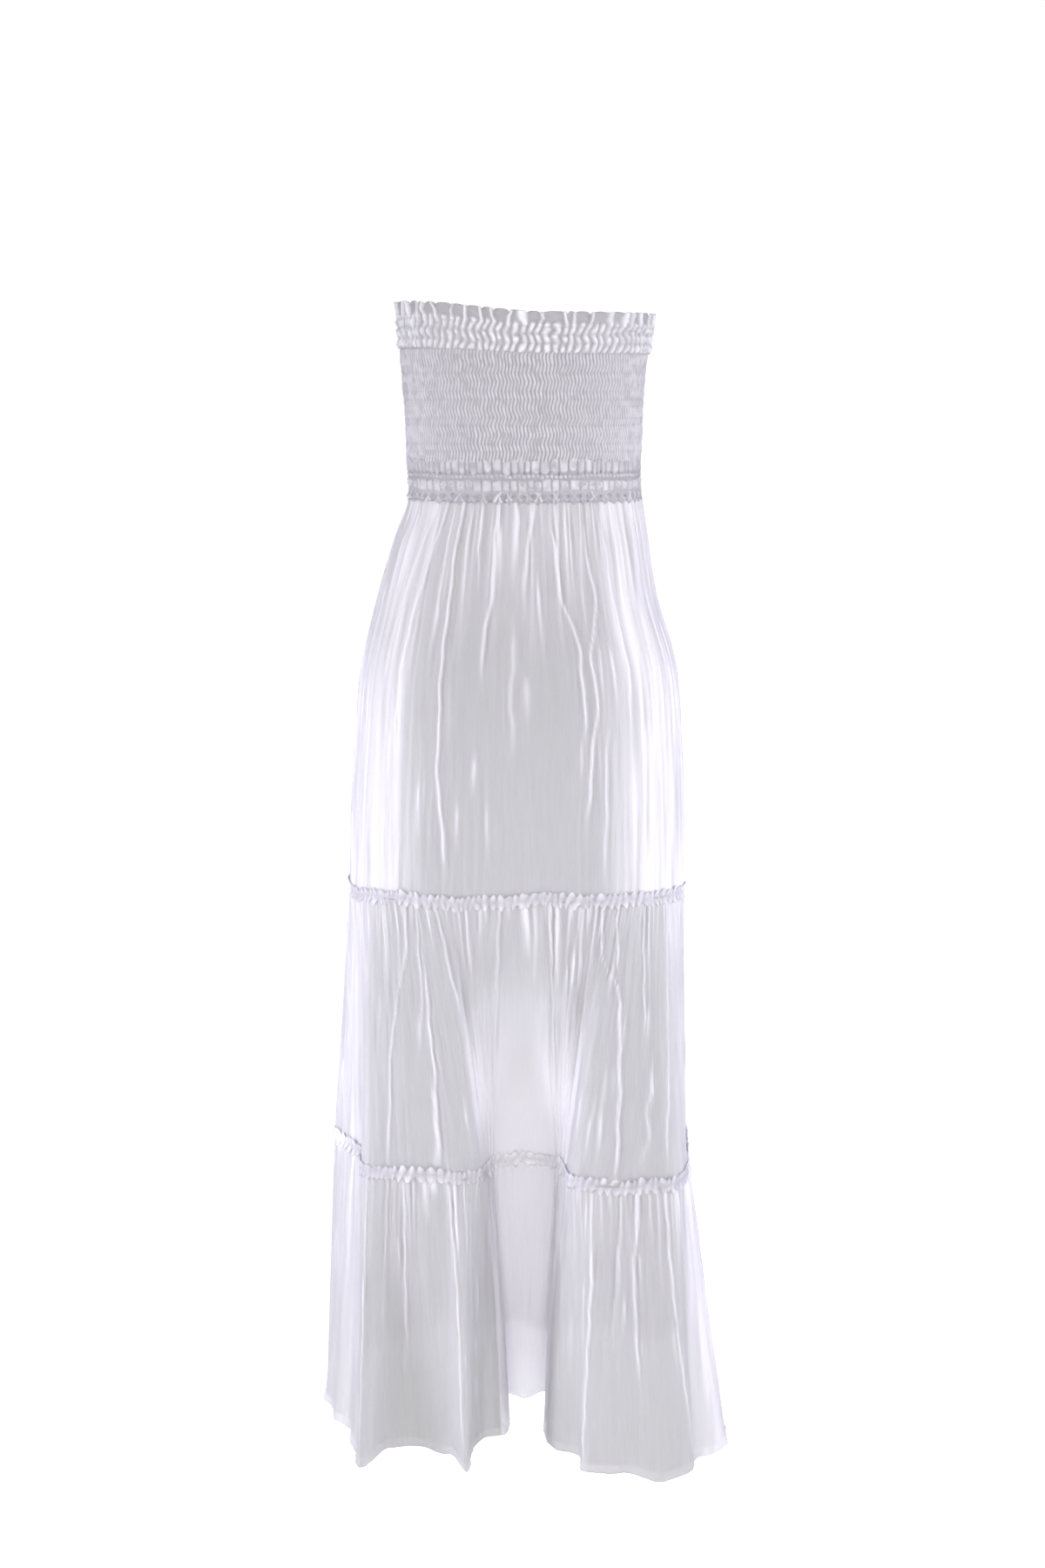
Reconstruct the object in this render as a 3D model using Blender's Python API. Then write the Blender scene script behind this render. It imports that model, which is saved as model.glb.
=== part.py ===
"""A strapless tiered maxi dress in white cotton voile, hollow and in the shape it has when worn.

Metres, +Z up. The wearer faces +Y. The origin is the middle of the bodice, level with the top
of its smocking, and heights in the tables are given as distances down from there.
Every piece is a wall of cloth lofted through horizontal outlines, in a back and a front half
that meet at the side seams.
"""

import math

import bmesh
import bpy
import numpy as np

# Seam heights, down from the top of the smocking
TOP_EDGE = -0.046
HEADING_STITCH = -0.024
BODICE_TOP = 0.0
BODICE_BOTTOM = 0.113
WAIST_LACE_BOTTOM = 0.152
SEAM_1 = 0.563
SEAM_2 = 0.841
HEM = 1.137

# Cloth
SEAM_GAP = 0.0003
VOILE_WALL = 0.0013
BODICE_WALL = 0.0016
LACE_WALL = 0.0014
FRILL_WALL = 0.0011

# Gathers, smocking and ruffles
TIER_COLUMNS = 51
COLUMNS_PER_GATHER = 3
GATHER_DEPTH = 0.0022
SMOCKING_COLUMNS = 48
SMOCKING_ROWS = 11
SMOCKING_RELIEF = 0.0016
LACE_COLUMNS = 44
LACE_RELIEF = 0.0014
HEADING_WAVE = 0.0024
HEADING_SCALLOP = 0.0012
FRILL_HEIGHT = 0.013
FRILL_WAVE = 0.0014
FRILL_STAND = 0.0042
COLUMNS_PER_FRILL_WAVE = 4
SEAM_RISE = 0.005
RECESS_LEAD = 0.8

# Squareness of the worn outline: 2 is an ellipse, and more is boxier
OUTLINE_POWER = 2.3

# The worn outline from the top edge to the first tier seam: distances of the cloth from the axis
SECTIONS = (
    # down, left, right, back, front
    (-0.046, 0.1265, 0.1325, 0.098, 0.112),
    (0.000, 0.1248, 0.1280, 0.097, 0.124),
    (0.040, 0.1222, 0.1242, 0.095, 0.132),
    (0.080, 0.1195, 0.1226, 0.092, 0.123),
    (0.113, 0.1188, 0.1213, 0.090, 0.109),
    (0.152, 0.1178, 0.1222, 0.088, 0.101),
    (0.197, 0.1336, 0.1300, 0.091, 0.104),
    (0.250, 0.1500, 0.1390, 0.096, 0.107),
    (0.323, 0.1680, 0.1610, 0.104, 0.110),
    (0.408, 0.1760, 0.1690, 0.110, 0.112),
    (0.465, 0.1810, 0.1710, 0.110, 0.113),
    (0.563, 0.1845, 0.1720, 0.105, 0.114),
)

# Fold lines of the lower skirt, in order from the left side round the back to the right side:
# where each crosses the second tier seam and the hem, and how far the hem dips there
BACK_FOLD_LINES = (
    # name, seam x, seam y, hem x, hem y, dip
    ("left side", -0.2055, 0.000, -0.2186, 0.000, 0.000),
    ("left hollow", -0.1860, -0.035, -0.1976, -0.085, 0.000),
    ("left tuck", -0.1720, -0.062, -0.1770, -0.125, 0.000),
    ("left edge", -0.1610, -0.122, -0.1680, -0.186, 0.003),
    ("left face", -0.1350, -0.131, -0.1419, -0.152, 0.000),
    ("left face inner", -0.1080, -0.137, -0.0914, -0.154, 0.000),
    ("left ridge foot", -0.0800, -0.140, -0.0744, -0.164, 0.000),
    ("left ridge", -0.0640, -0.143, -0.0585, -0.186, 0.008),
    ("left ridge back", -0.0540, -0.142, -0.0530, -0.158, 0.000),
    ("left lip", -0.0465, -0.132, -0.0410, -0.131, 0.000),
    ("left corner", -0.0420, -0.113, -0.0231, -0.122, 0.000),
    ("recess left", -0.0300, -0.094, -0.0175, -0.022, 0.000),
    ("recess middle", 0.0000, -0.084, 0.0020, -0.036, 0.000),
    ("recess right", 0.0340, -0.096, 0.0225, -0.024, 0.000),
    ("right corner", 0.0465, -0.112, 0.0258, -0.134, 0.000),
    ("right lip", 0.0510, -0.136, 0.0365, -0.158, 0.000),
    ("right under", 0.0560, -0.158, 0.0600, -0.166, 0.000),
    ("right overlap", 0.0680, -0.166, 0.0630, -0.191, 0.004),
    ("right face", 0.0850, -0.169, 0.0823, -0.197, 0.004),
    ("right face middle", 0.1070, -0.170, 0.1130, -0.200, 0.008),
    ("right face outer", 0.1300, -0.170, 0.1450, -0.204, 0.012),
    ("right edge", 0.1500, -0.167, 0.1720, -0.195, 0.006),
    ("right tuck", 0.1620, -0.150, 0.1830, -0.166, 0.000),
    ("right wing", 0.1690, -0.124, 0.2010, -0.156, 0.000),
    ("right wing back", 0.1725, -0.085, 0.2125, -0.140, 0.000),
    ("right flank", 0.1760, -0.040, 0.2050, -0.062, 0.000),
    ("right side", 0.1770, 0.000, 0.2030, 0.000, 0.000),
)

# The same for the front, from the right side round to the left side
FRONT_FOLD_LINES = (
    # name, seam x, seam y, hem x, hem y, dip
    ("right side", 0.1770, 0.000, 0.2030, 0.000, 0.000),
    ("right flank", 0.1730, 0.045, 0.2030, 0.058, 0.000),
    ("right ridge", 0.1580, 0.087, 0.1900, 0.120, 0.004),
    ("right hollow", 0.1340, 0.100, 0.1520, 0.116, 0.000),
    ("right leg ridge", 0.1100, 0.127, 0.1240, 0.168, 0.006),
    ("right leg", 0.0780, 0.134, 0.0860, 0.176, 0.004),
    ("right centre hollow", 0.0450, 0.122, 0.0520, 0.134, 0.000),
    ("right centre ridge", 0.0120, 0.131, 0.0200, 0.160, 0.005),
    ("left centre ridge", -0.0200, 0.134, -0.0180, 0.168, 0.004),
    ("left centre hollow", -0.0520, 0.123, -0.0560, 0.134, 0.000),
    ("left leg", -0.0850, 0.134, -0.0900, 0.174, 0.005),
    ("left leg ridge", -0.1160, 0.126, -0.1280, 0.164, 0.006),
    ("left hollow", -0.1420, 0.098, -0.1540, 0.116, 0.000),
    ("left ridge", -0.1660, 0.083, -0.1890, 0.116, 0.004),
    ("left flank", -0.1900, 0.045, -0.2100, 0.058, 0.000),
    ("left side", -0.2055, 0.000, -0.2186, 0.000, 0.000),
)

# Rows of each piece, as fractions of its height from its top
TIER_1_ROWS = (0, 0.035, 0.11, 0.23, 0.39, 0.58, 0.79, 1)
TIER_2_ROWS = (0, 0.06, 0.2, 0.44, 0.72, 1)
TIER_3_ROWS = (0, 0.06, 0.2, 0.44, 0.72, 1)
WAIST_LACE_ROWS = (0, 0.22, 0.5, 0.78, 1)
HEADING_ROWS = (TOP_EDGE, -0.036, HEADING_STITCH)
RUCHED_ROWS = (-0.018, -0.012, -0.006, BODICE_TOP)

# How deep a gather is at each fraction of its tier's height
GATHER_FADE = ((0, 0.25), (0.035, 1.0), (0.3, 0.55), (1, 0.3))

HALVES = {"back": BACK_FOLD_LINES, "front": FRONT_FOLD_LINES}


def smooth(x, knots, values):
    """A cubic curve through values at knots, read at x."""
    knots = np.asarray(knots, float)
    values = np.asarray(values, float)
    slopes = np.gradient(values, knots)
    i = np.clip(np.searchsorted(knots, x, side="right") - 1, 0, len(knots) - 2)
    step = knots[i + 1] - knots[i]
    t = (x - knots[i]) / step
    start = (1 + 2 * t) * (1 - t) ** 2 * values[i] + t * (1 - t) ** 2 * step * slopes[i]
    end = t**2 * (3 - 2 * t) * values[i + 1] + t**2 * (t - 1) * step * slopes[i + 1]
    return start + end


def along(points):
    """The distance along a polyline at each of its points."""
    steps = np.linalg.norm(np.diff(points, axis=0), axis=1)
    return np.concatenate(([0.0], np.cumsum(steps)))


def worn_outline(half, across, down):
    """The body's outline at a height, read at fractions across one half, from side seam to side seam."""
    turn = math.pi * (across + (1 if half == "back" else 0))
    table = np.array(SECTIONS)
    left, right, back, front = (smooth(down, table[:, 0], table[:, k]) for k in (1, 2, 3, 4))
    cosine = np.cos(turn)
    sine = np.sin(turn)
    x = np.sign(cosine) * np.abs(cosine) ** (2 / OUTLINE_POWER) * np.where(cosine > 0, right, left)
    y = np.sign(sine) * np.abs(sine) ** (2 / OUTLINE_POWER) * (back if half == "back" else front)
    y[[0, -1]] = 0.0
    return np.column_stack((x, y))


def fold_line_ends(half, end):
    """Where the fold lines of one half cross the second tier seam or the hem."""
    first = 1 if end == "seam" else 3
    return np.array([line[first : first + 2] for line in HALVES[half]])


def column_places(half):
    """Fractions across the cloth of the tiers' columns: even at the hem, with one on every fold line."""
    distance = along(fold_line_ends(half, "hem"))
    places = []
    for start, end in zip(distance, distance[1:]):
        count = max(1, round((end - start) / distance[-1] * TIER_COLUMNS))
        places.extend(np.linspace(start, end, count, endpoint=False))
    places.append(distance[-1])
    return np.array(places) / distance[-1]


def folded_outline(half, across, end):
    """The lower skirt's outline at the second tier seam or the hem, at fractions across the cloth."""
    points = fold_line_ends(half, end)
    cloth = along(fold_line_ends(half, "hem"))
    distance = along(points)
    s = np.interp(across * cloth[-1], cloth, distance)
    return np.column_stack([smooth(s, distance, points[:, k]) for k in (0, 1)])


def seam_1_height(half, across):
    """The first tier seam rides up a little over the seat."""
    rise = SEAM_RISE if half == "back" else 0.0
    return SEAM_1 - rise * np.sin(math.pi * across) ** 2


def hem_height(half, across):
    cloth = along(fold_line_ends(half, "hem"))
    dips = [line[5] for line in HALVES[half]]
    return HEM + np.interp(across * cloth[-1], cloth, dips)


def tier_1_row(half, across, v):
    """(outline, height) of tier 1 at a fraction of its height."""
    top = WAIST_LACE_BOTTOM
    down = top + (seam_1_height(half, across) - top) * v
    return worn_outline(half, across, top + (SEAM_1 - top) * v), down


def tier_2_row(half, across, v):
    """Tier 2 goes from the worn outline into the folds that the legs leave."""
    upper = worn_outline(half, across, SEAM_1)
    lower = folded_outline(half, across, "seam")
    outline = upper + (lower - upper) * np.array([v, v**1.25])
    down = seam_1_height(half, across)
    return outline, down + (SEAM_2 - down) * v


def tier_3_row(half, across, v):
    """In tier 3 the folds beside the recess close up first, and all deepen evenly down to the hem."""
    upper = folded_outline(half, across, "seam")
    lower = folded_outline(half, across, "hem")
    lead = 1 + RECESS_LEAD * np.sin(math.pi * across) ** 6
    closing = np.column_stack((1 - (1 - v) ** lead, np.full(len(across), v)))
    outline = upper + (lower - upper) * closing
    return outline, SEAM_2 + (hem_height(half, across) - SEAM_2) * v


def outward(outline):
    """The level directions out of a wall along its outline. At a side seam they lie along X."""
    tangent = np.gradient(outline, axis=0)
    normal = np.column_stack((tangent[:, 1], -tangent[:, 0]))
    normal[0, 1] = 0.0
    normal[-1, 1] = 0.0
    return normal / np.linalg.norm(normal, axis=1)[:, None]


def waves(count, columns_per_wave, seed):
    """One value for each column: a row of uneven waves, still at both side seams."""
    uneven = np.random.default_rng(seed).uniform(0.6, 1.25, count)
    column = np.arange(count)
    heights = uneven[column // columns_per_wave]
    values = heights * np.cos(2 * math.pi * column / columns_per_wave)
    values[[0, -1]] = 0.0
    return values


def layer(outline, down, distance):
    """The points of one row of a wall, moved out by a distance from its outline."""
    level = outline + outward(outline) * np.reshape(distance, (-1, 1))
    return np.column_stack((level, -np.broadcast_to(down, len(level))))


def add_wall(name, half, outer, inner, inner_rows, material, collection):
    """A closed wall between two grids of points. inner_rows says which outer row each inner row backs."""
    seam = -SEAM_GAP / 2 if half == "back" else SEAM_GAP / 2
    shift = np.array([0.0, seam, 0.0])
    bm = bmesh.new()
    out = [[bm.verts.new(point + shift) for point in row] for row in outer]
    back = [[bm.verts.new(point + shift) for point in row] for row in inner]
    for upper, lower in zip(out, out[1:]):
        for k in range(len(upper) - 1):
            bm.faces.new((upper[k], lower[k], lower[k + 1], upper[k + 1]))
    for upper, lower in zip(back, back[1:]):
        for k in range(len(upper) - 1):
            bm.faces.new((upper[k + 1], lower[k + 1], lower[k], upper[k]))
    for k in range(len(out[0]) - 1):
        bm.faces.new((out[0][k], out[0][k + 1], back[0][k + 1], back[0][k]))
        bm.faces.new((out[-1][k + 1], out[-1][k], back[-1][k], back[-1][k + 1]))
    for j in range(len(inner_rows) - 1):
        backed = range(inner_rows[j], inner_rows[j + 1] + 1)
        first = [out[r][0] for r in reversed(backed)]
        last = [out[r][-1] for r in backed]
        bm.faces.new(first + [back[j][0], back[j + 1][0]])
        bm.faces.new(last + [back[j + 1][-1], back[j][-1]])
    mesh = bpy.data.meshes.new(name)
    bm.to_mesh(mesh)
    bm.free()
    mesh.shade_smooth()
    mesh.set_sharp_from_angle(angle=math.radians(60))
    mesh.materials.append(material)
    wall = bpy.data.objects.new(name, mesh)
    collection.objects.link(wall)
    return wall


def even_wall(name, half, rows, thickness, material, collection):
    """A wall of one thickness. rows holds (outline, down, distance moved out)."""
    outer = [layer(outline, down, moved + thickness / 2) for outline, down, moved in rows]
    inner = [layer(outline, down, moved - thickness / 2) for outline, down, moved in rows]
    return add_wall(name, half, outer, inner, range(len(rows)), material, collection)


def raised_wall(name, half, rows, relief, backed, thickness, material, collection):
    """A wall with relief on its outside over a plain inside, which has only the backed rows."""
    outer = [
        layer(outline, down, moved + thickness / 2 + raised)
        for (outline, down, moved), raised in zip(rows, relief)
    ]
    inner = [layer(rows[r][0], rows[r][1], rows[r][2] - thickness / 2) for r in backed]
    return add_wall(name, half, outer, inner, backed, material, collection)


def gap_at_ends(downs):
    """Draws a piece's first and last row in by half a seam gap."""
    downs = [np.array(down, float) for down in downs]
    downs[0] = downs[0] + SEAM_GAP / 2
    downs[-1] = downs[-1] - SEAM_GAP / 2
    return downs


def cloth_material(name, color, roughness):
    material = bpy.data.materials.new(name)
    material.use_nodes = True
    shader = material.node_tree.nodes["Principled BSDF"]
    shader.inputs["Base Color"].default_value = (*color, 1.0)
    shader.inputs["Roughness"].default_value = roughness
    shader.inputs["Metallic"].default_value = 0.0
    return material


def add_tier(name, half, row_at, fractions, seed, material, collection):
    across = column_places(half)
    gathers = waves(len(across), COLUMNS_PER_GATHER, seed) * GATHER_DEPTH
    fade = np.array(GATHER_FADE)
    outlines, downs = zip(*(row_at(half, across, v) for v in fractions))
    depth = [np.interp(v, fade[:, 0], fade[:, 1]) for v in fractions]
    rows = [
        (outline, down, gathers * d)
        for outline, down, d in zip(outlines, gap_at_ends(downs), depth)
    ]
    return even_wall(name, half, rows, VOILE_WALL, material, collection)


def add_seam_frill(name, half, tier_above, tier_below, heights, seed, material, collection):
    """A ruched strip over a tier seam, made from both tiers' points moved out."""
    across = column_places(half)
    edge = waves(len(across), COLUMNS_PER_FRILL_WAVE, seed) * FRILL_WAVE
    top, seam, bottom = heights
    above = 1 - FRILL_HEIGHT / 2 / (seam - top)
    below = FRILL_HEIGHT / 2 / (bottom - seam)
    upper = tier_above(half, across, above)
    middle = tier_above(half, across, 1)
    lower = tier_below(half, across, below)
    rows = [
        (*upper, FRILL_STAND + edge),
        (*middle, FRILL_STAND - 0.5 * edge),
        (*lower, FRILL_STAND + edge),
    ]
    return even_wall(name, half, rows, FRILL_WALL, material, collection)


def add_bodice(half, material, collection):
    """Shirred cloth: the elastic pulls it into a honeycomb, whose cells shift by one column each row."""
    across = np.linspace(0, 1, SMOCKING_COLUMNS + 1)
    downs = np.linspace(BODICE_TOP, BODICE_BOTTOM, SMOCKING_ROWS + 1)
    rows = []
    relief = []
    for r, down in enumerate(gap_at_ends(downs)):
        rows.append((worn_outline(half, across, down), down, 0.0))
        cells = ((np.arange(len(across)) + r) % 2) * SMOCKING_RELIEF
        cells[[0, -1]] = 0.0
        relief.append(cells)
    relief[0] = relief[0] * 0.4
    relief[-1] = relief[-1] * 0.4
    backed = (0, 4, 8, SMOCKING_ROWS)
    name = f"bodice_{half}"
    return raised_wall(name, half, rows, relief, backed, BODICE_WALL, material, collection)


def add_waist_lace(half, material, collection):
    """A crochet band with a row of florets between two corded edges."""
    across = np.linspace(0, 1, LACE_COLUMNS + 1)
    height = WAIST_LACE_BOTTOM - BODICE_BOTTOM
    downs = gap_at_ends([BODICE_BOTTOM + height * v for v in WAIST_LACE_ROWS])
    rows = [(worn_outline(half, across, down), down, 0.0) for down in downs]
    floret = (np.arange(len(across)) % 2) * LACE_RELIEF
    floret[[0, -1]] = 0.0
    gap = (1 - np.arange(len(across)) % 2) * LACE_RELIEF * 0.5
    gap[[0, -1]] = 0.0
    relief = [gap, gap, floret, gap, gap]
    backed = (0, 2, len(downs) - 1)
    name = f"waist_lace_{half}"
    return raised_wall(name, half, rows, relief, backed, LACE_WALL, material, collection)


def add_top_frill(half, seed, material, collection):
    """An upright heading of small pleats over three rows of ruched lace puffs."""
    across = np.linspace(0, 1, LACE_COLUMNS + 1)
    pleats = waves(len(across), 2, seed)
    rows = []
    relief = []
    for down in HEADING_ROWS:
        stand = (HEADING_STITCH - down) / (HEADING_STITCH - TOP_EDGE)
        scallop = HEADING_SCALLOP * pleats * (down == TOP_EDGE)
        size = HEADING_WAVE * (0.2 + 0.8 * stand)
        rows.append((worn_outline(half, across, down), down - scallop, pleats * size))
        relief.append(np.zeros(len(across)))
    for r, down in enumerate(RUCHED_ROWS):
        puffs = ((np.arange(len(across)) + r) % 2) * LACE_RELIEF
        puffs[[0, -1]] = 0.0
        end = SEAM_GAP / 2 if down == BODICE_TOP else 0.0
        rows.append((worn_outline(half, across, down), down - end, 0.0))
        relief.append(puffs)
    backed = (0, 1, 2, 4, len(rows) - 1)
    name = f"top_frill_{half}"
    return raised_wall(name, half, rows, relief, backed, LACE_WALL, material, collection)


def clear_scene():
    for item in list(bpy.data.objects):
        bpy.data.objects.remove(item, do_unlink=True)


def main():
    clear_scene()
    collection = bpy.data.collections.new("maxi_dress")
    bpy.context.scene.collection.children.link(collection)
    voile = cloth_material("white_cotton_voile", (0.80, 0.80, 0.86), 0.8)
    shirred = cloth_material("white_shirred_cotton", (0.82, 0.82, 0.88), 0.85)
    lace = cloth_material("white_crochet_lace", (0.86, 0.86, 0.92), 0.75)
    for side, half in enumerate(HALVES):
        add_top_frill(half, 11 + side, lace, collection)
        add_bodice(half, shirred, collection)
        add_waist_lace(half, lace, collection)
        add_tier(f"tier_1_{half}", half, tier_1_row, TIER_1_ROWS, 21 + side, voile, collection)
        add_tier(f"tier_2_{half}", half, tier_2_row, TIER_2_ROWS, 31 + side, voile, collection)
        add_tier(f"tier_3_{half}", half, tier_3_row, TIER_3_ROWS, 41 + side, voile, collection)
        heights_1 = (WAIST_LACE_BOTTOM, SEAM_1, SEAM_2)
        heights_2 = (SEAM_1, SEAM_2, HEM)
        add_seam_frill(
            f"seam_frill_1_{half}", half, tier_1_row, tier_2_row, heights_1, 51 + side, lace, collection
        )
        add_seam_frill(
            f"seam_frill_2_{half}", half, tier_2_row, tier_3_row, heights_2, 61 + side, lace, collection
        )


main()
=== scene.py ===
"""A strapless tiered maxi dress in white cotton voile: the cloth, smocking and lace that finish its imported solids.

The file is laid out as an add-on. Sizes and colours are properties, each kind of piece has its own
operator, and main() runs them in order.
Metres, +Z up. The wearer faces +Y, so the back of the dress faces -Y. The origin is the middle of the
bodice, level with the top of its smocking, and heights are given as distances down from there.
Every piece is a thin shell of cloth on the form of the solid that it stands for, in a back and a front
half that meet at the side seams.
"""

import math
from functools import partial

import bmesh
import bpy
import numpy as np
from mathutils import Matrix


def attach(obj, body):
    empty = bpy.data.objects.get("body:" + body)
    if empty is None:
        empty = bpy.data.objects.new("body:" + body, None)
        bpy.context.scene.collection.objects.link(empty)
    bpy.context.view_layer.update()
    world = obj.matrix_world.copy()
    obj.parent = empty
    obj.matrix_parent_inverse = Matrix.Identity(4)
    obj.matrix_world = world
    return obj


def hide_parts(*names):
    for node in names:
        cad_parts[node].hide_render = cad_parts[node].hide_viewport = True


bl_info = {
    "name": "Tiered Maxi Dress",
    "version": (1, 0, 0),
    "blender": (4, 5, 0),
    "location": "3D View > Sidebar > Dress",
    "description": "Builds a smocked and tiered maxi dress in cotton voile and lace",
    "category": "Object",
}

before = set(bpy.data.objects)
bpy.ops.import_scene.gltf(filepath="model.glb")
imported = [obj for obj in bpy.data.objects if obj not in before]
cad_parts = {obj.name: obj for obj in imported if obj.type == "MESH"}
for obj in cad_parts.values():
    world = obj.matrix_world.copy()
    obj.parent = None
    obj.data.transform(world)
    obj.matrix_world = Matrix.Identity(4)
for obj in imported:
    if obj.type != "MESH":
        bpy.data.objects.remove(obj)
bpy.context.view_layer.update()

# Seam heights, down from the top of the smocking
TOP_EDGE = -0.046
HEADING_STITCH = -0.024
BODICE_TOP = 0.0
BODICE_BOTTOM = 0.113
WAIST_LACE_BOTTOM = 0.152
SEAM_1 = 0.563
SEAM_2 = 0.841
HEM = 1.137
SEAM_RISE = 0.005
RECESS_LEAD = 0.8

# Squareness of the worn outline: 2 is an ellipse, and more is boxier
OUTLINE_POWER = 2.3

# The worn outline from the top edge to the first tier seam: distances of the cloth from the axis
SECTIONS = (
    # down, left, right, back, front
    (-0.046, 0.1265, 0.1325, 0.098, 0.112),
    (0.000, 0.1248, 0.1280, 0.097, 0.124),
    (0.040, 0.1222, 0.1242, 0.095, 0.132),
    (0.080, 0.1195, 0.1226, 0.092, 0.123),
    (0.113, 0.1188, 0.1213, 0.090, 0.109),
    (0.152, 0.1178, 0.1222, 0.088, 0.101),
    (0.197, 0.1336, 0.1300, 0.091, 0.104),
    (0.250, 0.1500, 0.1390, 0.096, 0.107),
    (0.323, 0.1680, 0.1610, 0.104, 0.110),
    (0.408, 0.1760, 0.1690, 0.110, 0.112),
    (0.465, 0.1810, 0.1710, 0.110, 0.113),
    (0.563, 0.1845, 0.1720, 0.105, 0.114),
)

# Fold lines of the lower skirt: where each crosses the second tier seam and the hem, and how far the
# hem dips there. The back goes from the left side to the right side, and the front on round.
BACK_FOLD_LINES = (
    # name, seam x, seam y, hem x, hem y, dip
    ("left side", -0.2055, 0.000, -0.2186, 0.000, 0.000),
    ("left hollow", -0.1860, -0.035, -0.1976, -0.085, 0.000),
    ("left tuck", -0.1720, -0.062, -0.1770, -0.125, 0.000),
    ("left edge", -0.1610, -0.122, -0.1680, -0.186, 0.003),
    ("left face", -0.1350, -0.131, -0.1419, -0.152, 0.000),
    ("left face inner", -0.1080, -0.137, -0.0914, -0.154, 0.000),
    ("left ridge foot", -0.0800, -0.140, -0.0744, -0.164, 0.000),
    ("left ridge", -0.0640, -0.143, -0.0585, -0.186, 0.008),
    ("left ridge back", -0.0540, -0.142, -0.0530, -0.158, 0.000),
    ("left lip", -0.0440, -0.134, -0.0410, -0.131, 0.000),
    ("left corner", -0.0380, -0.113, -0.0231, -0.122, 0.000),
    ("recess left", -0.0300, -0.094, -0.0175, -0.022, 0.000),
    ("recess middle", 0.0000, -0.084, 0.0020, -0.036, 0.000),
    ("recess right", 0.0340, -0.096, 0.0225, -0.024, 0.000),
    ("right corner", 0.0420, -0.112, 0.0258, -0.134, 0.000),
    ("right lip", 0.0460, -0.136, 0.0365, -0.158, 0.000),
    ("right under", 0.0520, -0.158, 0.0600, -0.166, 0.000),
    ("right overlap", 0.0680, -0.166, 0.0630, -0.191, 0.004),
    ("right face", 0.0850, -0.169, 0.0823, -0.197, 0.004),
    ("right face middle", 0.1070, -0.170, 0.1130, -0.200, 0.008),
    ("right face outer", 0.1300, -0.170, 0.1450, -0.204, 0.012),
    ("right edge", 0.1500, -0.167, 0.1720, -0.195, 0.006),
    ("right tuck", 0.1620, -0.150, 0.1830, -0.166, 0.000),
    ("right wing", 0.1690, -0.124, 0.2010, -0.156, 0.000),
    ("right wing back", 0.1725, -0.085, 0.2125, -0.140, 0.000),
    ("right flank", 0.1760, -0.040, 0.2050, -0.062, 0.000),
    ("right side", 0.1770, 0.000, 0.2030, 0.000, 0.000),
)
FRONT_FOLD_LINES = (
    ("right side", 0.1770, 0.000, 0.2030, 0.000, 0.000),
    ("right flank", 0.1730, 0.045, 0.2030, 0.058, 0.000),
    ("right ridge", 0.1580, 0.087, 0.1900, 0.120, 0.004),
    ("right hollow", 0.1340, 0.100, 0.1520, 0.116, 0.000),
    ("right leg ridge", 0.1100, 0.127, 0.1240, 0.168, 0.006),
    ("right leg", 0.0780, 0.134, 0.0860, 0.176, 0.004),
    ("right centre hollow", 0.0450, 0.122, 0.0520, 0.134, 0.000),
    ("right centre ridge", 0.0120, 0.131, 0.0200, 0.160, 0.005),
    ("left centre ridge", -0.0200, 0.134, -0.0180, 0.168, 0.004),
    ("left centre hollow", -0.0520, 0.123, -0.0560, 0.134, 0.000),
    ("left leg", -0.0850, 0.134, -0.0900, 0.174, 0.005),
    ("left leg ridge", -0.1160, 0.126, -0.1280, 0.164, 0.006),
    ("left hollow", -0.1420, 0.098, -0.1540, 0.116, 0.000),
    ("left ridge", -0.1660, 0.083, -0.1890, 0.116, 0.004),
    ("left flank", -0.1900, 0.045, -0.2100, 0.058, 0.000),
    ("left side", -0.2055, 0.000, -0.2186, 0.000, 0.000),
)
HALVES = {"back": BACK_FOLD_LINES, "front": FRONT_FOLD_LINES}

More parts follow.
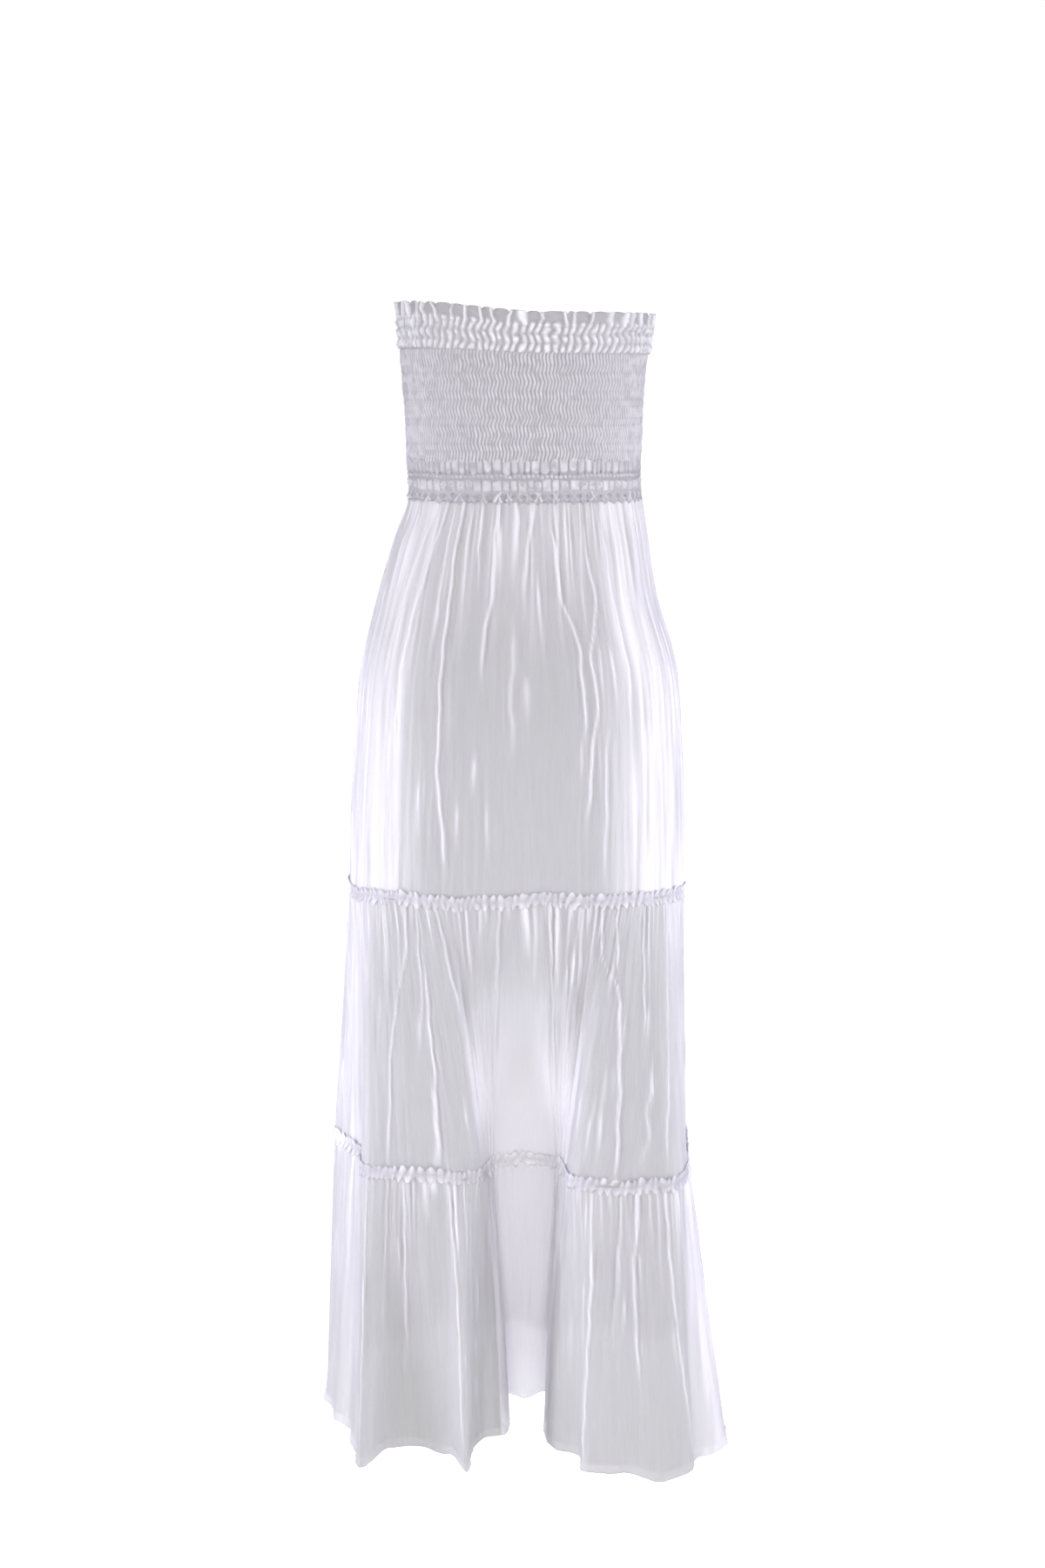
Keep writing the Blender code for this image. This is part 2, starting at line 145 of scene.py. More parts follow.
# The creases that catch the eye on each tier: the height and breadth of each, and then its way from its
# top to its foot, point by point, as a fraction of the tier's height and one of the half's width
CREASES = {
    "tier_1_back": (
        (
            0.0018, 0.0019, 0.00, 0.355, 0.10, 0.349, 0.22, 0.357, 0.31, 0.353, 0.41, 0.357, 0.56, 0.355, 0.74, 0.362,
            0.92, 0.380,
        ),
        (0.0014, 0.0017, 0.00, 0.448, 0.10, 0.448, 0.22, 0.446, 0.35, 0.438, 0.44, 0.437),
        (0.0012, 0.0015, 0.00, 0.406, 0.10, 0.412, 0.20, 0.417),
        (0.0010, 0.0014, 0.00, 0.488, 0.07, 0.492, 0.12, 0.493),
        (0.0013, 0.0015, 0.00, 0.520, 0.14, 0.507, 0.25, 0.500),
        (0.0014, 0.0019, 0.05, 0.560, 0.24, 0.576, 0.32, 0.597, 0.42, 0.603, 0.49, 0.607, 0.60, 0.600),
        (0.0015, 0.0020, 0.10, 0.640, 0.24, 0.656, 0.39, 0.627, 0.49, 0.632, 0.64, 0.619, 0.80, 0.606),
        (0.0012, 0.0025, 0.00, 0.300, 0.10, 0.285, 0.30, 0.262, 0.50, 0.250, 0.66, 0.247),
        (0.0010, 0.0023, 0.00, 0.262, 0.12, 0.235, 0.28, 0.212, 0.46, 0.196),
        (0.0011, 0.0021, 0.06, 0.700, 0.20, 0.708, 0.40, 0.715, 0.55, 0.712),
        (0.0008, 0.0019, 0.30, 0.490, 0.45, 0.486, 0.62, 0.488),
        (0.0009, 0.0021, 0.55, 0.655, 0.75, 0.648, 0.95, 0.645),
    ),
    "tier_2_back": (
        (0.0013, 0.0021, 0.00, 0.290, 0.24, 0.270, 0.45, 0.240, 0.95, 0.216),
        (0.0012, 0.0019, 0.00, 0.312, 0.30, 0.296, 0.54, 0.280),
        (0.0016, 0.0021, 0.25, 0.309, 0.45, 0.301, 0.60, 0.296, 0.96, 0.282),
        (0.0018, 0.0020, 0.00, 0.643, 0.10, 0.648, 0.19, 0.658, 0.31, 0.700, 0.52, 0.717, 0.97, 0.730),
        (0.0014, 0.0018, 0.00, 0.676, 0.16, 0.690, 0.28, 0.704),
        (0.0012, 0.0019, 0.00, 0.745, 0.25, 0.755, 0.48, 0.763),
        (0.0012, 0.0019, 0.00, 0.823, 0.40, 0.812, 0.92, 0.798),
        (0.0010, 0.0025, 0.62, 0.792, 0.72, 0.770, 0.84, 0.774, 0.95, 0.752),
        (0.0011, 0.0019, 0.00, 0.355, 0.20, 0.362, 0.42, 0.372),
        (0.0009, 0.0017, 0.00, 0.470, 0.30, 0.468, 0.80, 0.462),
        (0.0009, 0.0017, 0.00, 0.540, 0.35, 0.541, 0.75, 0.545),
    ),
    "tier_3_back": (
        (0.0014, 0.0021, 0.00, 0.244, 0.30, 0.243, 0.64, 0.243),
        (0.0014, 0.0021, 0.00, 0.292, 0.39, 0.303, 0.92, 0.308),
        (0.0016, 0.0023, 0.20, 0.704, 0.45, 0.702, 0.66, 0.700, 0.98, 0.696),
        (-0.0013, 0.0021, 0.00, 0.735, 0.30, 0.729, 0.54, 0.723),
        (0.0015, 0.0021, 0.00, 0.757, 0.45, 0.752, 0.66, 0.756),
        (0.0016, 0.0023, 0.00, 0.795, 0.31, 0.796, 0.56, 0.801, 0.98, 0.815),
        (0.0011, 0.0021, 0.05, 0.180, 0.50, 0.180, 0.98, 0.179),
        (0.0010, 0.0019, 0.00, 0.215, 0.20, 0.214, 0.40, 0.212),
        (0.0010, 0.0019, 0.00, 0.855, 0.30, 0.858, 0.70, 0.868),
    ),
    # The front is finished with creases of the same kinds
    "tier_1_front": (
        (0.0016, 0.0019, 0.00, 0.330, 0.20, 0.322, 0.50, 0.318, 0.85, 0.330),
        (0.0014, 0.0017, 0.00, 0.430, 0.20, 0.424, 0.42, 0.428),
        (0.0013, 0.0016, 0.00, 0.500, 0.12, 0.505, 0.26, 0.503),
        (0.0014, 0.0018, 0.00, 0.585, 0.24, 0.592, 0.55, 0.588),
        (0.0016, 0.0020, 0.04, 0.675, 0.30, 0.690, 0.60, 0.684, 0.88, 0.678),
        (0.0012, 0.0024, 0.00, 0.250, 0.20, 0.230, 0.50, 0.215),
        (0.0011, 0.0022, 0.00, 0.755, 0.22, 0.778, 0.46, 0.790),
    ),
    "tier_2_front": (
        (0.0016, 0.0021, 0.00, 0.300, 0.40, 0.290, 0.96, 0.276),
        (0.0013, 0.0019, 0.00, 0.400, 0.30, 0.404, 0.62, 0.400),
        (0.0012, 0.0018, 0.00, 0.505, 0.25, 0.500, 0.50, 0.504),
        (0.0015, 0.0021, 0.00, 0.640, 0.36, 0.652, 0.92, 0.664),
        (0.0012, 0.0019, 0.00, 0.745, 0.30, 0.752, 0.60, 0.750),
        (0.0011, 0.0019, 0.00, 0.200, 0.30, 0.190, 0.70, 0.186),
    ),
    "tier_3_front": (
        (0.0014, 0.0022, 0.00, 0.285, 0.40, 0.280, 0.95, 0.272),
        (0.0013, 0.0019, 0.00, 0.372, 0.26, 0.376, 0.50, 0.374),
        (0.0014, 0.0021, 0.10, 0.470, 0.50, 0.466, 0.96, 0.470),
        (0.0014, 0.0021, 0.00, 0.580, 0.40, 0.588, 0.80, 0.586),
        (0.0013, 0.0019, 0.00, 0.690, 0.30, 0.700, 0.64, 0.704),
        (0.0011, 0.0019, 0.00, 0.800, 0.34, 0.808, 0.90, 0.812),
    ),
}

# Cut size of each half before it was gathered: width and length
CUT_SIZES = {
    "top_frill_back": (0.52, 0.050),
    "top_frill_front": (0.56, 0.050),
    "bodice_back": (0.55, 0.116),
    "bodice_front": (0.60, 0.116),
    "waist_lace_back": (0.38, 0.044),
    "waist_lace_front": (0.40, 0.044),
    "tier_1_back": (0.56, 0.415),
    "tier_1_front": (0.56, 0.415),
    "tier_2_back": (0.76, 0.285),
    "tier_2_front": (0.62, 0.285),
    "tier_3_back": (1.14, 0.310),
    "tier_3_front": (0.86, 0.310),
    "seam_frill_1_back": (0.64, 0.015),
    "seam_frill_1_front": (0.64, 0.015),
    "seam_frill_2_back": (0.96, 0.015),
    "seam_frill_2_front": (0.74, 0.015),
}


class DressSizes(bpy.types.PropertyGroup):
    """The sizes of the cloth and its sewing."""

    voile_thickness: bpy.props.FloatProperty(
        name="Voile thickness", description="Thickness of one layer of voile", default=0.0004, unit="LENGTH"
    )
    shirred_thickness: bpy.props.FloatProperty(
        name="Shirred thickness", description="Thickness of the smocked cloth", default=0.0006, unit="LENGTH"
    )
    lace_thickness: bpy.props.FloatProperty(
        name="Lace thickness", description="Thickness of the crochet lace", default=0.0009, unit="LENGTH"
    )
    gather_height: bpy.props.FloatProperty(
        name="Gather height", description="How far a gather stands out under its seam", default=0.0018, unit="LENGTH"
    )
    crinkle_height: bpy.props.FloatProperty(
        name="Crinkle height", description="Height of the long ripples in the voile", default=0.0004, unit="LENGTH"
    )
    tuck_height: bpy.props.FloatProperty(
        name="Tuck height", description="Height of a smocked tuck", default=0.0018, unit="LENGTH"
    )
    elastic_spacing: bpy.props.FloatProperty(
        name="Elastic spacing", description="Distance between two rows of elastic", default=0.0086, unit="LENGTH"
    )
    frill_height: bpy.props.FloatProperty(
        name="Seam frill height", description="Height of the ruched trim on a tier seam", default=0.013, unit="LENGTH"
    )
    hem_height: bpy.props.FloatProperty(
        name="Hem height", description="Height of the double-turned hem", default=0.010, unit="LENGTH"
    )


class DressColours(bpy.types.PropertyGroup):
    """The colours of the cloth, as sRGB hex values."""

    voile: bpy.props.StringProperty(name="Voile", description="Colour of the voile", default="E5E5E5")
    voile_slub: bpy.props.StringProperty(
        name="Voile slub", description="Colour where the yarns lie closer", default="CDCDCE"
    )
    # Partly the double cloth of pressed folds and the hem, and partly painted light: a painted highlight on crests,
    # and painted light on the recess and near the side seams
    voile_double: bpy.props.StringProperty(
        name="Voile double", description="Colour where a fold or close gathers lay the voile double", default="FBF9FF"
    )
    voile_lit: bpy.props.StringProperty(
        name="Voile lit through", description="Colour of the light that comes through the voile", default="F1F1F1"
    )
    shirred: bpy.props.StringProperty(name="Shirred cotton", description="Colour of the bodice", default="F2F0F6")
    # Painted shade: the darker colour laid down between the tucks
    shirred_groove: bpy.props.StringProperty(
        name="Shirred groove", description="Colour down between the tucks", default="C3C1C9"
    )
    lace: bpy.props.StringProperty(name="Lace", description="Colour of the lace", default="F8F8FC")
    # Painted shade: the darker colour laid between the lace's threads and ribbons
    lace_shade: bpy.props.StringProperty(
        name="Lace shade", description="Colour between the lace's threads", default="D4D2D8"
    )
    floor: bpy.props.StringProperty(name="Floor", description="Colour of the floor", default="F8F8F8")


class DressStudio(bpy.types.PropertyGroup):
    """The camera and the lights."""

    lens: bpy.props.FloatProperty(name="Lens", description="Focal length in millimetres", default=50.0)
    camera_distance: bpy.props.FloatProperty(
        name="Camera distance", description="From the camera to the middle of the dress", default=2.28, unit="LENGTH"
    )
    camera_down: bpy.props.FloatProperty(
        name="Camera down", description="Camera below the top of the smocking", default=0.0441, unit="LENGTH"
    )
    tilt: bpy.props.FloatProperty(
        name="Tilt", description="How far the camera looks down", default=math.radians(10.2), subtype="ANGLE"
    )
    backdrop: bpy.props.FloatProperty(name="Backdrop", description="Brightness of the white backdrop", default=1.1)
    floor_white: bpy.props.FloatProperty(
        name="Floor white", description="White added to the floor for the eye alone", default=0.75
    )
    room_light: bpy.props.FloatProperty(
        name="Room light", description="Even light from the white room", default=0.31
    )
    left_softbox: bpy.props.FloatProperty(
        name="Left softbox", description="Power of the softbox on the left", default=5.2, unit="POWER"
    )
    right_softbox: bpy.props.FloatProperty(
        name="Right softbox", description="Power of the softbox on the right", default=4.8, unit="POWER"
    )
    front_softbox: bpy.props.FloatProperty(
        name="Front softbox", description="Power of the softbox behind the camera", default=57.0, unit="POWER"
    )
    softbox_spread: bpy.props.FloatProperty(
        name="Softbox spread",
        description="How wide the honeycomb grid lets each side softbox shine",
        default=math.radians(40),
        subtype="ANGLE",
    )
    overhead: bpy.props.FloatProperty(
        name="Overhead", description="Power of the overhead softbox", default=20.0, unit="POWER"
    )
    floor_down: bpy.props.FloatProperty(
        name="Floor down", description="Floor below the top of the smocking", default=1.305, unit="LENGTH"
    )


def smooth(x, knots, values):
    """A cubic curve through values at knots, read at x."""
    knots = np.asarray(knots, float)
    values = np.asarray(values, float)
    slopes = np.gradient(values, knots)
    i = np.clip(np.searchsorted(knots, x, side="right") - 1, 0, len(knots) - 2)
    step = knots[i + 1] - knots[i]
    t = (x - knots[i]) / step
    start = (1 + 2 * t) * (1 - t) ** 2 * values[i] + t * (1 - t) ** 2 * step * slopes[i]
    end = t**2 * (3 - 2 * t) * values[i + 1] + t**2 * (t - 1) * step * slopes[i + 1]
    return start + end


def ease(t):
    """0 below 0, 1 above 1, and a smooth step between them."""
    t = np.clip(t, 0.0, 1.0)
    return t * t * (3 - 2 * t)


def along(points):
    """The distance along a polyline at each of its points."""
    steps = np.linalg.norm(np.diff(points, axis=0), axis=1)
    return np.concatenate(([0.0], np.cumsum(steps)))


def worn_outline(half, across, down):
    """The body's outline at a height, read at fractions of the turn across one half, from side seam to side seam."""
    turn = math.pi * (across + (1 if half == "back" else 0))
    table = np.array(SECTIONS)
    left, right, back, front = (smooth(down, table[:, 0], table[:, k]) for k in (1, 2, 3, 4))
    cosine = np.cos(turn)
    sine = np.sin(turn)
    x = np.sign(cosine) * np.abs(cosine) ** (2 / OUTLINE_POWER) * np.where(cosine > 0, right, left)
    y = np.sign(sine) * np.abs(sine) ** (2 / OUTLINE_POWER) * (back if half == "back" else front)
    y[[0, -1]] = 0.0
    return np.column_stack((x, y))


def even_outline(half, across, down):
    """The body's outline at a height, read at fractions of the cloth across one half."""
    dense = worn_outline(half, np.linspace(0, 1, 1201), down)
    distance = along(dense)
    places = across * distance[-1]
    return np.column_stack([np.interp(places, distance, dense[:, k]) for k in (0, 1)])


def fold_line_ends(half, end):
    """Where the fold lines of one half cross the second tier seam or the hem."""
    first = 1 if end == "seam" else 3
    return np.array([line[first : first + 2] for line in HALVES[half]])


def folded_outline(half, across, end):
    """The lower skirt's outline at the second tier seam or the hem, at fractions across the cloth."""
    points = fold_line_ends(half, end)
    cloth = along(fold_line_ends(half, "hem"))
    distance = along(points)
    s = np.interp(across * cloth[-1], cloth, distance)
    return np.column_stack([smooth(s, distance, points[:, k]) for k in (0, 1)])


def seam_1_height(half, across):
    """The first tier seam rides up a little over the seat."""
    rise = SEAM_RISE if half == "back" else 0.0
    return SEAM_1 - rise * np.sin(math.pi * across) ** 2


def hem_height(half, across):
    """The hem dips where the cloth folds outwards."""
    cloth = along(fold_line_ends(half, "hem"))
    dips = [line[5] for line in HALVES[half]]
    return HEM + np.interp(across * cloth[-1], cloth, dips)


def tier_1_row(half, across, v):
    """(outline, height) of tier 1 at a fraction of its height."""
    top = WAIST_LACE_BOTTOM
    down = top + (seam_1_height(half, across) - top) * v
    return worn_outline(half, across, top + (SEAM_1 - top) * v), down


def tier_2_row(half, across, v):
    """Tier 2 goes from the worn outline into the folds that the legs leave."""
    upper = worn_outline(half, across, SEAM_1)
    lower = folded_outline(half, across, "seam")
    outline = upper + (lower - upper) * np.array([v, v**1.25])
    down = seam_1_height(half, across)
    return outline, down + (SEAM_2 - down) * v


def tier_3_row(half, across, v):
    """In tier 3 the folds beside the recess close up first, and all deepen evenly down to the hem."""
    upper = folded_outline(half, across, "seam")
    lower = folded_outline(half, across, "hem")
    lead = 1 + RECESS_LEAD * np.sin(math.pi * across) ** 6
    closing = np.column_stack((1 - (1 - v) ** lead, np.full(len(across), v)))
    outline = upper + (lower - upper) * closing
    return outline, SEAM_2 + (hem_height(half, across) - SEAM_2) * v


def outward(outline):
    """The level directions out of the cloth along its outline. At a side seam they lie along X."""
    tangent = np.gradient(outline, axis=0)
    normal = np.column_stack((tangent[:, 1], -tangent[:, 0]))
    normal[[0, -1], 1] = 0.0
    return normal / np.linalg.norm(normal, axis=1)[:, None]


def side_seam_fade(across, width):
    """0 at both side seams and 1 a fraction of the width away, so that the two halves meet."""
    return ease(np.minimum(across, 1 - across) / width)


def hump(distance, width):
    """1 on a ridge's crest, and down to 0 on both sides of it."""
    return np.exp(-((distance / width) ** 2))


def sway(v, rng, size):
    """A line's uneven drift to the side on its way down."""
    turns = rng.uniform(4, 9) * v + rng.uniform(0, 6.3)
    return size * (np.sin(turns) + 0.6 * np.sin(2.3 * turns + rng.uniform(0, 6.3)))


# For each gather that springs from the seam, how many ridges there are in all
RIDGES_PER_GATHER = 1.6


def gathers(across, v, count, height, reach, seed):
    """Ridges that spring from a gathered seam, each of its own height, breadth, length and lean, and more of
    them lower down that begin in the open cloth. A few are much higher than the rest."""
    rng = np.random.default_rng(seed)
    raised = np.zeros((len(v), len(across)))
    for number in range(round(RIDGES_PER_GATHER * count)):
        springs = number < count
        place = (number + 0.5 + rng.uniform(-0.45, 0.45)) / count if springs else rng.uniform(0.02, 0.98)
        begins = 0.0 if springs else rng.uniform(0.03, 0.8)
        length = reach * (rng.uniform(0.15, 1.0) ** 1.6 if springs else rng.uniform(0.12, 0.5)) + 0.04
        crest = height * (0.15 + 0.85 * rng.uniform(0.0, 1.0) ** 1.7)
        way = (v - begins) / length
        grows = 0.35 + 0.65 * ease(v / 0.03) if springs else ease(way / 0.25)
        fade = np.where(way < 0, 0.0, ease(1 - way) * grows)
        breadth = (rng.uniform(0.16, 0.28) / count * (1 + 0.5 * np.clip(way, 0, 1)))[:, None]
        centre = place + rng.normal(0.0, 1.0) / count * v + sway(v, rng, 0.22 / count)
        raised += crest * fade[:, None] * hump(across - centre[:, None], breadth)
    return raised


def crinkle(columns, rows, breadth, steps, seed):
    """Long uneven ripples down the cloth, such as wrung cotton keeps. breadth is in columns, and steps is how
    often they change on the way down."""
    rng = np.random.default_rng(seed)
    kernel = hump(np.arange(-3 * breadth, 3 * breadth + 1), breadth)
    coarse = rng.standard_normal((steps, columns + len(kernel) - 1))
    coarse = np.array([np.convolve(row, kernel, mode="valid") for row in coarse])
    coarse = coarse / coarse.std()
    at = np.linspace(0, steps - 1.001, rows)
    low = at.astype(int)
    t = ease(at - low)[:, None]
    return coarse[low] * (1 - t) + coarse[low + 1] * t


# How much narrower than its listed breadth a crease is pressed, and how far one drifts sideways
CREASE_PRESSED = 0.75
CREASE_DRIFT = 0.0009


def creases(across, v, width, listed):
    """The creases that are placed one by one. Each has a shallow trough along one side."""
    raised = np.zeros((len(v), len(across)))
    rng = np.random.default_rng(len(listed))
    for height, breadth, *way in listed:
        knots, places = way[::2], way[1::2]
        centre = smooth(np.clip(v, knots[0], knots[-1]), knots, places) + sway(5 * v, rng, CREASE_DRIFT / width)
        start = np.ones(len(v)) if knots[0] == 0 else ease((v - knots[0]) / 0.08 + 0.2)
        end = ease((knots[-1] - v) / 0.12 + 0.3)
        t = (across - centre[:, None]) * width / (CREASE_PRESSED * breadth)
        raised += height * (start * end)[:, None] * (hump(t, 1) - 0.35 * hump(t - 2.2, 1.5))
    return raised


def hex_colour(value):
    """A linear colour from an sRGB hex value."""
    parts = [int(value[k : k + 2], 16) / 255 for k in (0, 2, 4)]
    linear = [c / 12.92 if c <= 0.04045 else ((c + 0.055) / 1.055) ** 2.4 for c in parts]
    return (*linear, 1.0)


def add_node(material, kind, settings=None, links=None):
    """Adds a node, with its settings and what feeds its sockets: another node's socket, or a node for its
    first one."""
    tree = material.node_tree
    node = tree.nodes.new(kind)
    for name, value in (settings or {}).items():
        if isinstance(name, int) or name in node.inputs:
            node.inputs[name].default_value = value
        else:
            setattr(node, name, value)
    for name, source in (links or {}).items():
        tree.links.new(source.outputs[0] if isinstance(source, bpy.types.Node) else source, node.inputs[name])
    return node


def blank_material(name):
    """A new material without nodes, and the function that adds them to it."""
    material = bpy.data.materials.new(name)
    material.use_nodes = True
    material.node_tree.nodes.clear()
    return material, partial(add_node, material)


def cloth_coordinates(add, across, down):
    """The cloth's own coordinates, scaled so that one step of a pattern has its real size in metres."""
    place = add("ShaderNodeUVMap", {"uv_map": "cloth"})
    return add("ShaderNodeMapping", {"Scale": (1 / across, 1 / down, 1.0)}, {"Vector": place})


def shaded_by_height(add, painted_shade_colour, ridge):
    """The height in the pleat, which sets the painted shading, and the painted shade of the hollows and the colour of
    the ridges mixed by it.
    """
    height = add("ShaderNodeAttribute", {"attribute_name": "height_in_pleat"}).outputs["Fac"]
    ends = {"data_type": "RGBA", 6: hex_colour(painted_shade_colour), 7: hex_colour(ridge)}
    return height, add("ShaderNodeMix", ends, {"Factor": height}).outputs[2]


def open_cloth(add, passed, face, through):
    """Ends a material with cloth that lets some light through its yarn, and more through the gaps between."""
    cloth = add("ShaderNodeMixShader", None, {0: passed, 1: face, 2: through})
    gaps = add("ShaderNodeBsdfTransparent", {"Color": (0.97, 0.97, 1.0, 1.0)})
    openness = add("ShaderNodeAttribute", {"attribute_name": "openness"}).outputs["Fac"]
    open_weave = add("ShaderNodeMixShader", None, {0: openness, 1: cloth, 2: gaps})
    add("ShaderNodeOutputMaterial", None, {"Surface": open_weave})


# Cotton's fibres scatter light: it is matt, with a soft sheen along its edges
MATT_COTTON = {
    "Roughness": 0.85,
    "IOR": 1.5,
    "Specular IOR Level": 0.25,
    "Sheen Weight": 0.15,
    "Sheen Roughness": 0.5,
}
FINE_NOISE = {"Scale": 1.0, "Detail": 3.0, "Roughness": 0.6}


def woven_cotton_voile():
    """Plain-woven combed cotton, washed and wrung dry. It is matt and sheer, so light from behind comes
    through, and fine lengthways crinkles streak it."""
    colours = bpy.context.scene.dress_colours
    material, add = blank_material("woven_cotton_voile")
    # Crinkles 1.8 mm across and 40 mm long, among others three times as broad
    fine_streaks = add("ShaderNodeTexNoise", FINE_NOISE, {"Vector": cloth_coordinates(add, 0.0018, 0.040)})
    broad = cloth_coordinates(add, 0.0055, 0.110)
    broad_streaks = add("ShaderNodeTexNoise", {"Scale": 1.0, "Detail": 2.0}, {"Vector": broad})
    # Yarns lie 0.25 mm apart, and are drawn 0.8 mm apart so that the weave shows. At this scale a wave
    # texture has one band to a step of its pattern
    yarns = cloth_coordinates(add, 0.0008, 0.0008)
    wave = {"Scale": 0.314, "Distortion": 0.6, "Detail": 1.0}
    warp, weft = (
        add("ShaderNodeTexWave", {"bands_direction": way, **wave}, {"Vector": yarns}).outputs["Fac"] for way in "XY"
    )
    weave = add("ShaderNodeMath", {"operation": "MULTIPLY"}, {0: warp, 1: weft})
    slub_ends = {"data_type": "RGBA", 6: hex_colour(colours.voile_slub), 7: hex_colour(colours.voile)}
    slubs = add("ShaderNodeMix", slub_ends, {"Factor": fine_streaks}).outputs[2]
    # Where a fold is pressed tight the cloth lies double, so less light comes through and its line is white. The same
    # whitening is a painted highlight along the crests of the gathers and creases, and painted light on the recess
    # and towards the side seams
    fold = add("ShaderNodeAttribute", {"attribute_name": "fold"}).outputs["Fac"]
    double = {"data_type": "RGBA", 7: hex_colour(colours.voile_double)}
    shade = add("ShaderNodeMix", double, {"Factor": fold, 6: slubs}).outputs[2]
    crinkles = add("ShaderNodeMath", {"operation": "ADD"}, {0: fine_streaks, 1: broad_streaks})
    streak_bump = add("ShaderNodeBump", {"Strength": 0.7, "Distance": 0.0011}, {"Height": crinkles})
    bump = add("ShaderNodeBump", {"Strength": 0.25, "Distance": 0.0001}, {"Height": weave, "Normal": streak_bump})
    cloth = add("ShaderNodeBsdfPrincipled", MATT_COTTON, {"Base Color": shade, "Normal": bump})
    through = add("ShaderNodeBsdfTranslucent", {"Color": hex_colour(colours.voile_lit)}, {"Normal": bump})
    passed = add("ShaderNodeMapRange", {"To Min": 0.55, "To Max": 0.15}, {"Value": fold})
    open_cloth(add, passed, cloth, through)
    return material


def elastic_shirred_cotton():
    """Cotton voile shirred on rows of elastic. The tucks stand close together, so it is denser than the
    skirt and matt, with painted shade between the tucks."""
    colours = bpy.context.scene.dress_colours
    material, add = blank_material("elastic_shirred_cotton")
    # Puckers 1.1 mm across and 5 mm long, between two rows of elastic
    puckers = add("ShaderNodeTexNoise", FINE_NOISE, {"Vector": cloth_coordinates(add, 0.0011, 0.0050)})
    # Painted shade: the colour darkens down between the tucks
    shade = shaded_by_height(add, colours.shirred_groove, colours.shirred)[1]
    bump = add("ShaderNodeBump", {"Strength": 0.5, "Distance": 0.0005}, {"Height": puckers})
    cloth = add("ShaderNodeBsdfPrincipled", MATT_COTTON, {"Base Color": shade, "Normal": bump})
    through = add("ShaderNodeBsdfTranslucent", None, {"Color": shade, "Normal": bump})
    dense = add("ShaderNodeMixShader", {0: 0.3}, {1: cloth, 2: through})
    add("ShaderNodeOutputMaterial", None, {"Surface": dense})
    return material


def crocheted_cotton_lace():
    """Mercerised cotton thread, crocheted and gathered. The thread has a slight lustre, and the loops
    leave a pebbled face."""
    colours = bpy.context.scene.dress_colours
    material, add = blank_material("crocheted_cotton_lace")
    # Loops 1.3 mm apart
    loops = cloth_coordinates(add, 0.0013, 0.0013)
    pebbles = add("ShaderNodeTexVoronoi", {"Scale": 1.0, "Randomness": 0.6}, {"Vector": loops})
    # Painted shade between the ridges, and on the seam frills painted light as well
    height, shade = shaded_by_height(add, colours.lace_shade, colours.lace)
    pebbled = {"Strength": 0.5, "Distance": 0.0005, "invert": True}
    bump = add("ShaderNodeBump", pebbled, {"Height": pebbles.outputs["Distance"]})
    lustre = {"Roughness": 0.65, "IOR": 1.53, "Specular IOR Level": 0.35, "Sheen Weight": 0.1, "Sheen Roughness": 0.4}
    thread = add("ShaderNodeBsdfPrincipled", lustre, {"Base Color": shade, "Normal": bump})
    through = add("ShaderNodeBsdfTranslucent", None, {"Color": shade, "Normal": bump})
    # The thread lies thickest on the ridges, so less light comes through them
    passed = add("ShaderNodeMapRange", {"To Min": 0.5, "To Max": 0.15}, {"Value": height})
    open_cloth(add, passed, thread, through)
    return material


def painted_floor():
    """Matt white floor paint on a smooth board: even and without gloss, with faint roller marks."""
    material, add = blank_material("painted_floor")
    # Roller marks 60 mm across
    place = add("ShaderNodeTexCoord").outputs["Object"]
    marks = add("ShaderNodeTexNoise", {"Scale": 1 / 0.06, "Detail": 2.0}, {"Vector": place})
    bump = add("ShaderNodeBump", {"Strength": 0.05, "Distance": 0.001}, {"Height": marks})
    # The floor runs into the backdrop without a horizon, so the eye gets the backdrop's white from it too
    seen = add("ShaderNodeLightPath").outputs["Is Camera Ray"]
    white = bpy.context.scene.dress_studio.floor_white
    glow = add("ShaderNodeMath", {"operation": "MULTIPLY", 1: white}, {0: seen})
    matt_paint = {
        "Base Color": hex_colour(bpy.context.scene.dress_colours.floor),
        "Roughness": 0.9,
        "IOR": 1.5,
        "Specular IOR Level": 0.1,
        "Emission Color": (1.0, 1.0, 1.0, 1.0),
    }
    paint = add("ShaderNodeBsdfPrincipled", matt_paint, {"Normal": bump, "Emission Strength": glow})
    add("ShaderNodeOutputMaterial", None, {"Surface": paint})
    return material


FINISHES = {"voile": woven_cotton_voile, "shirred_cotton": elastic_shirred_cotton, "lace": crocheted_cotton_lace}


def finish_of(slot):
    """The material of a slot, made when it is first asked for."""
    made = FINISHES[slot]
    return bpy.data.materials.get(made.__name__) or made()


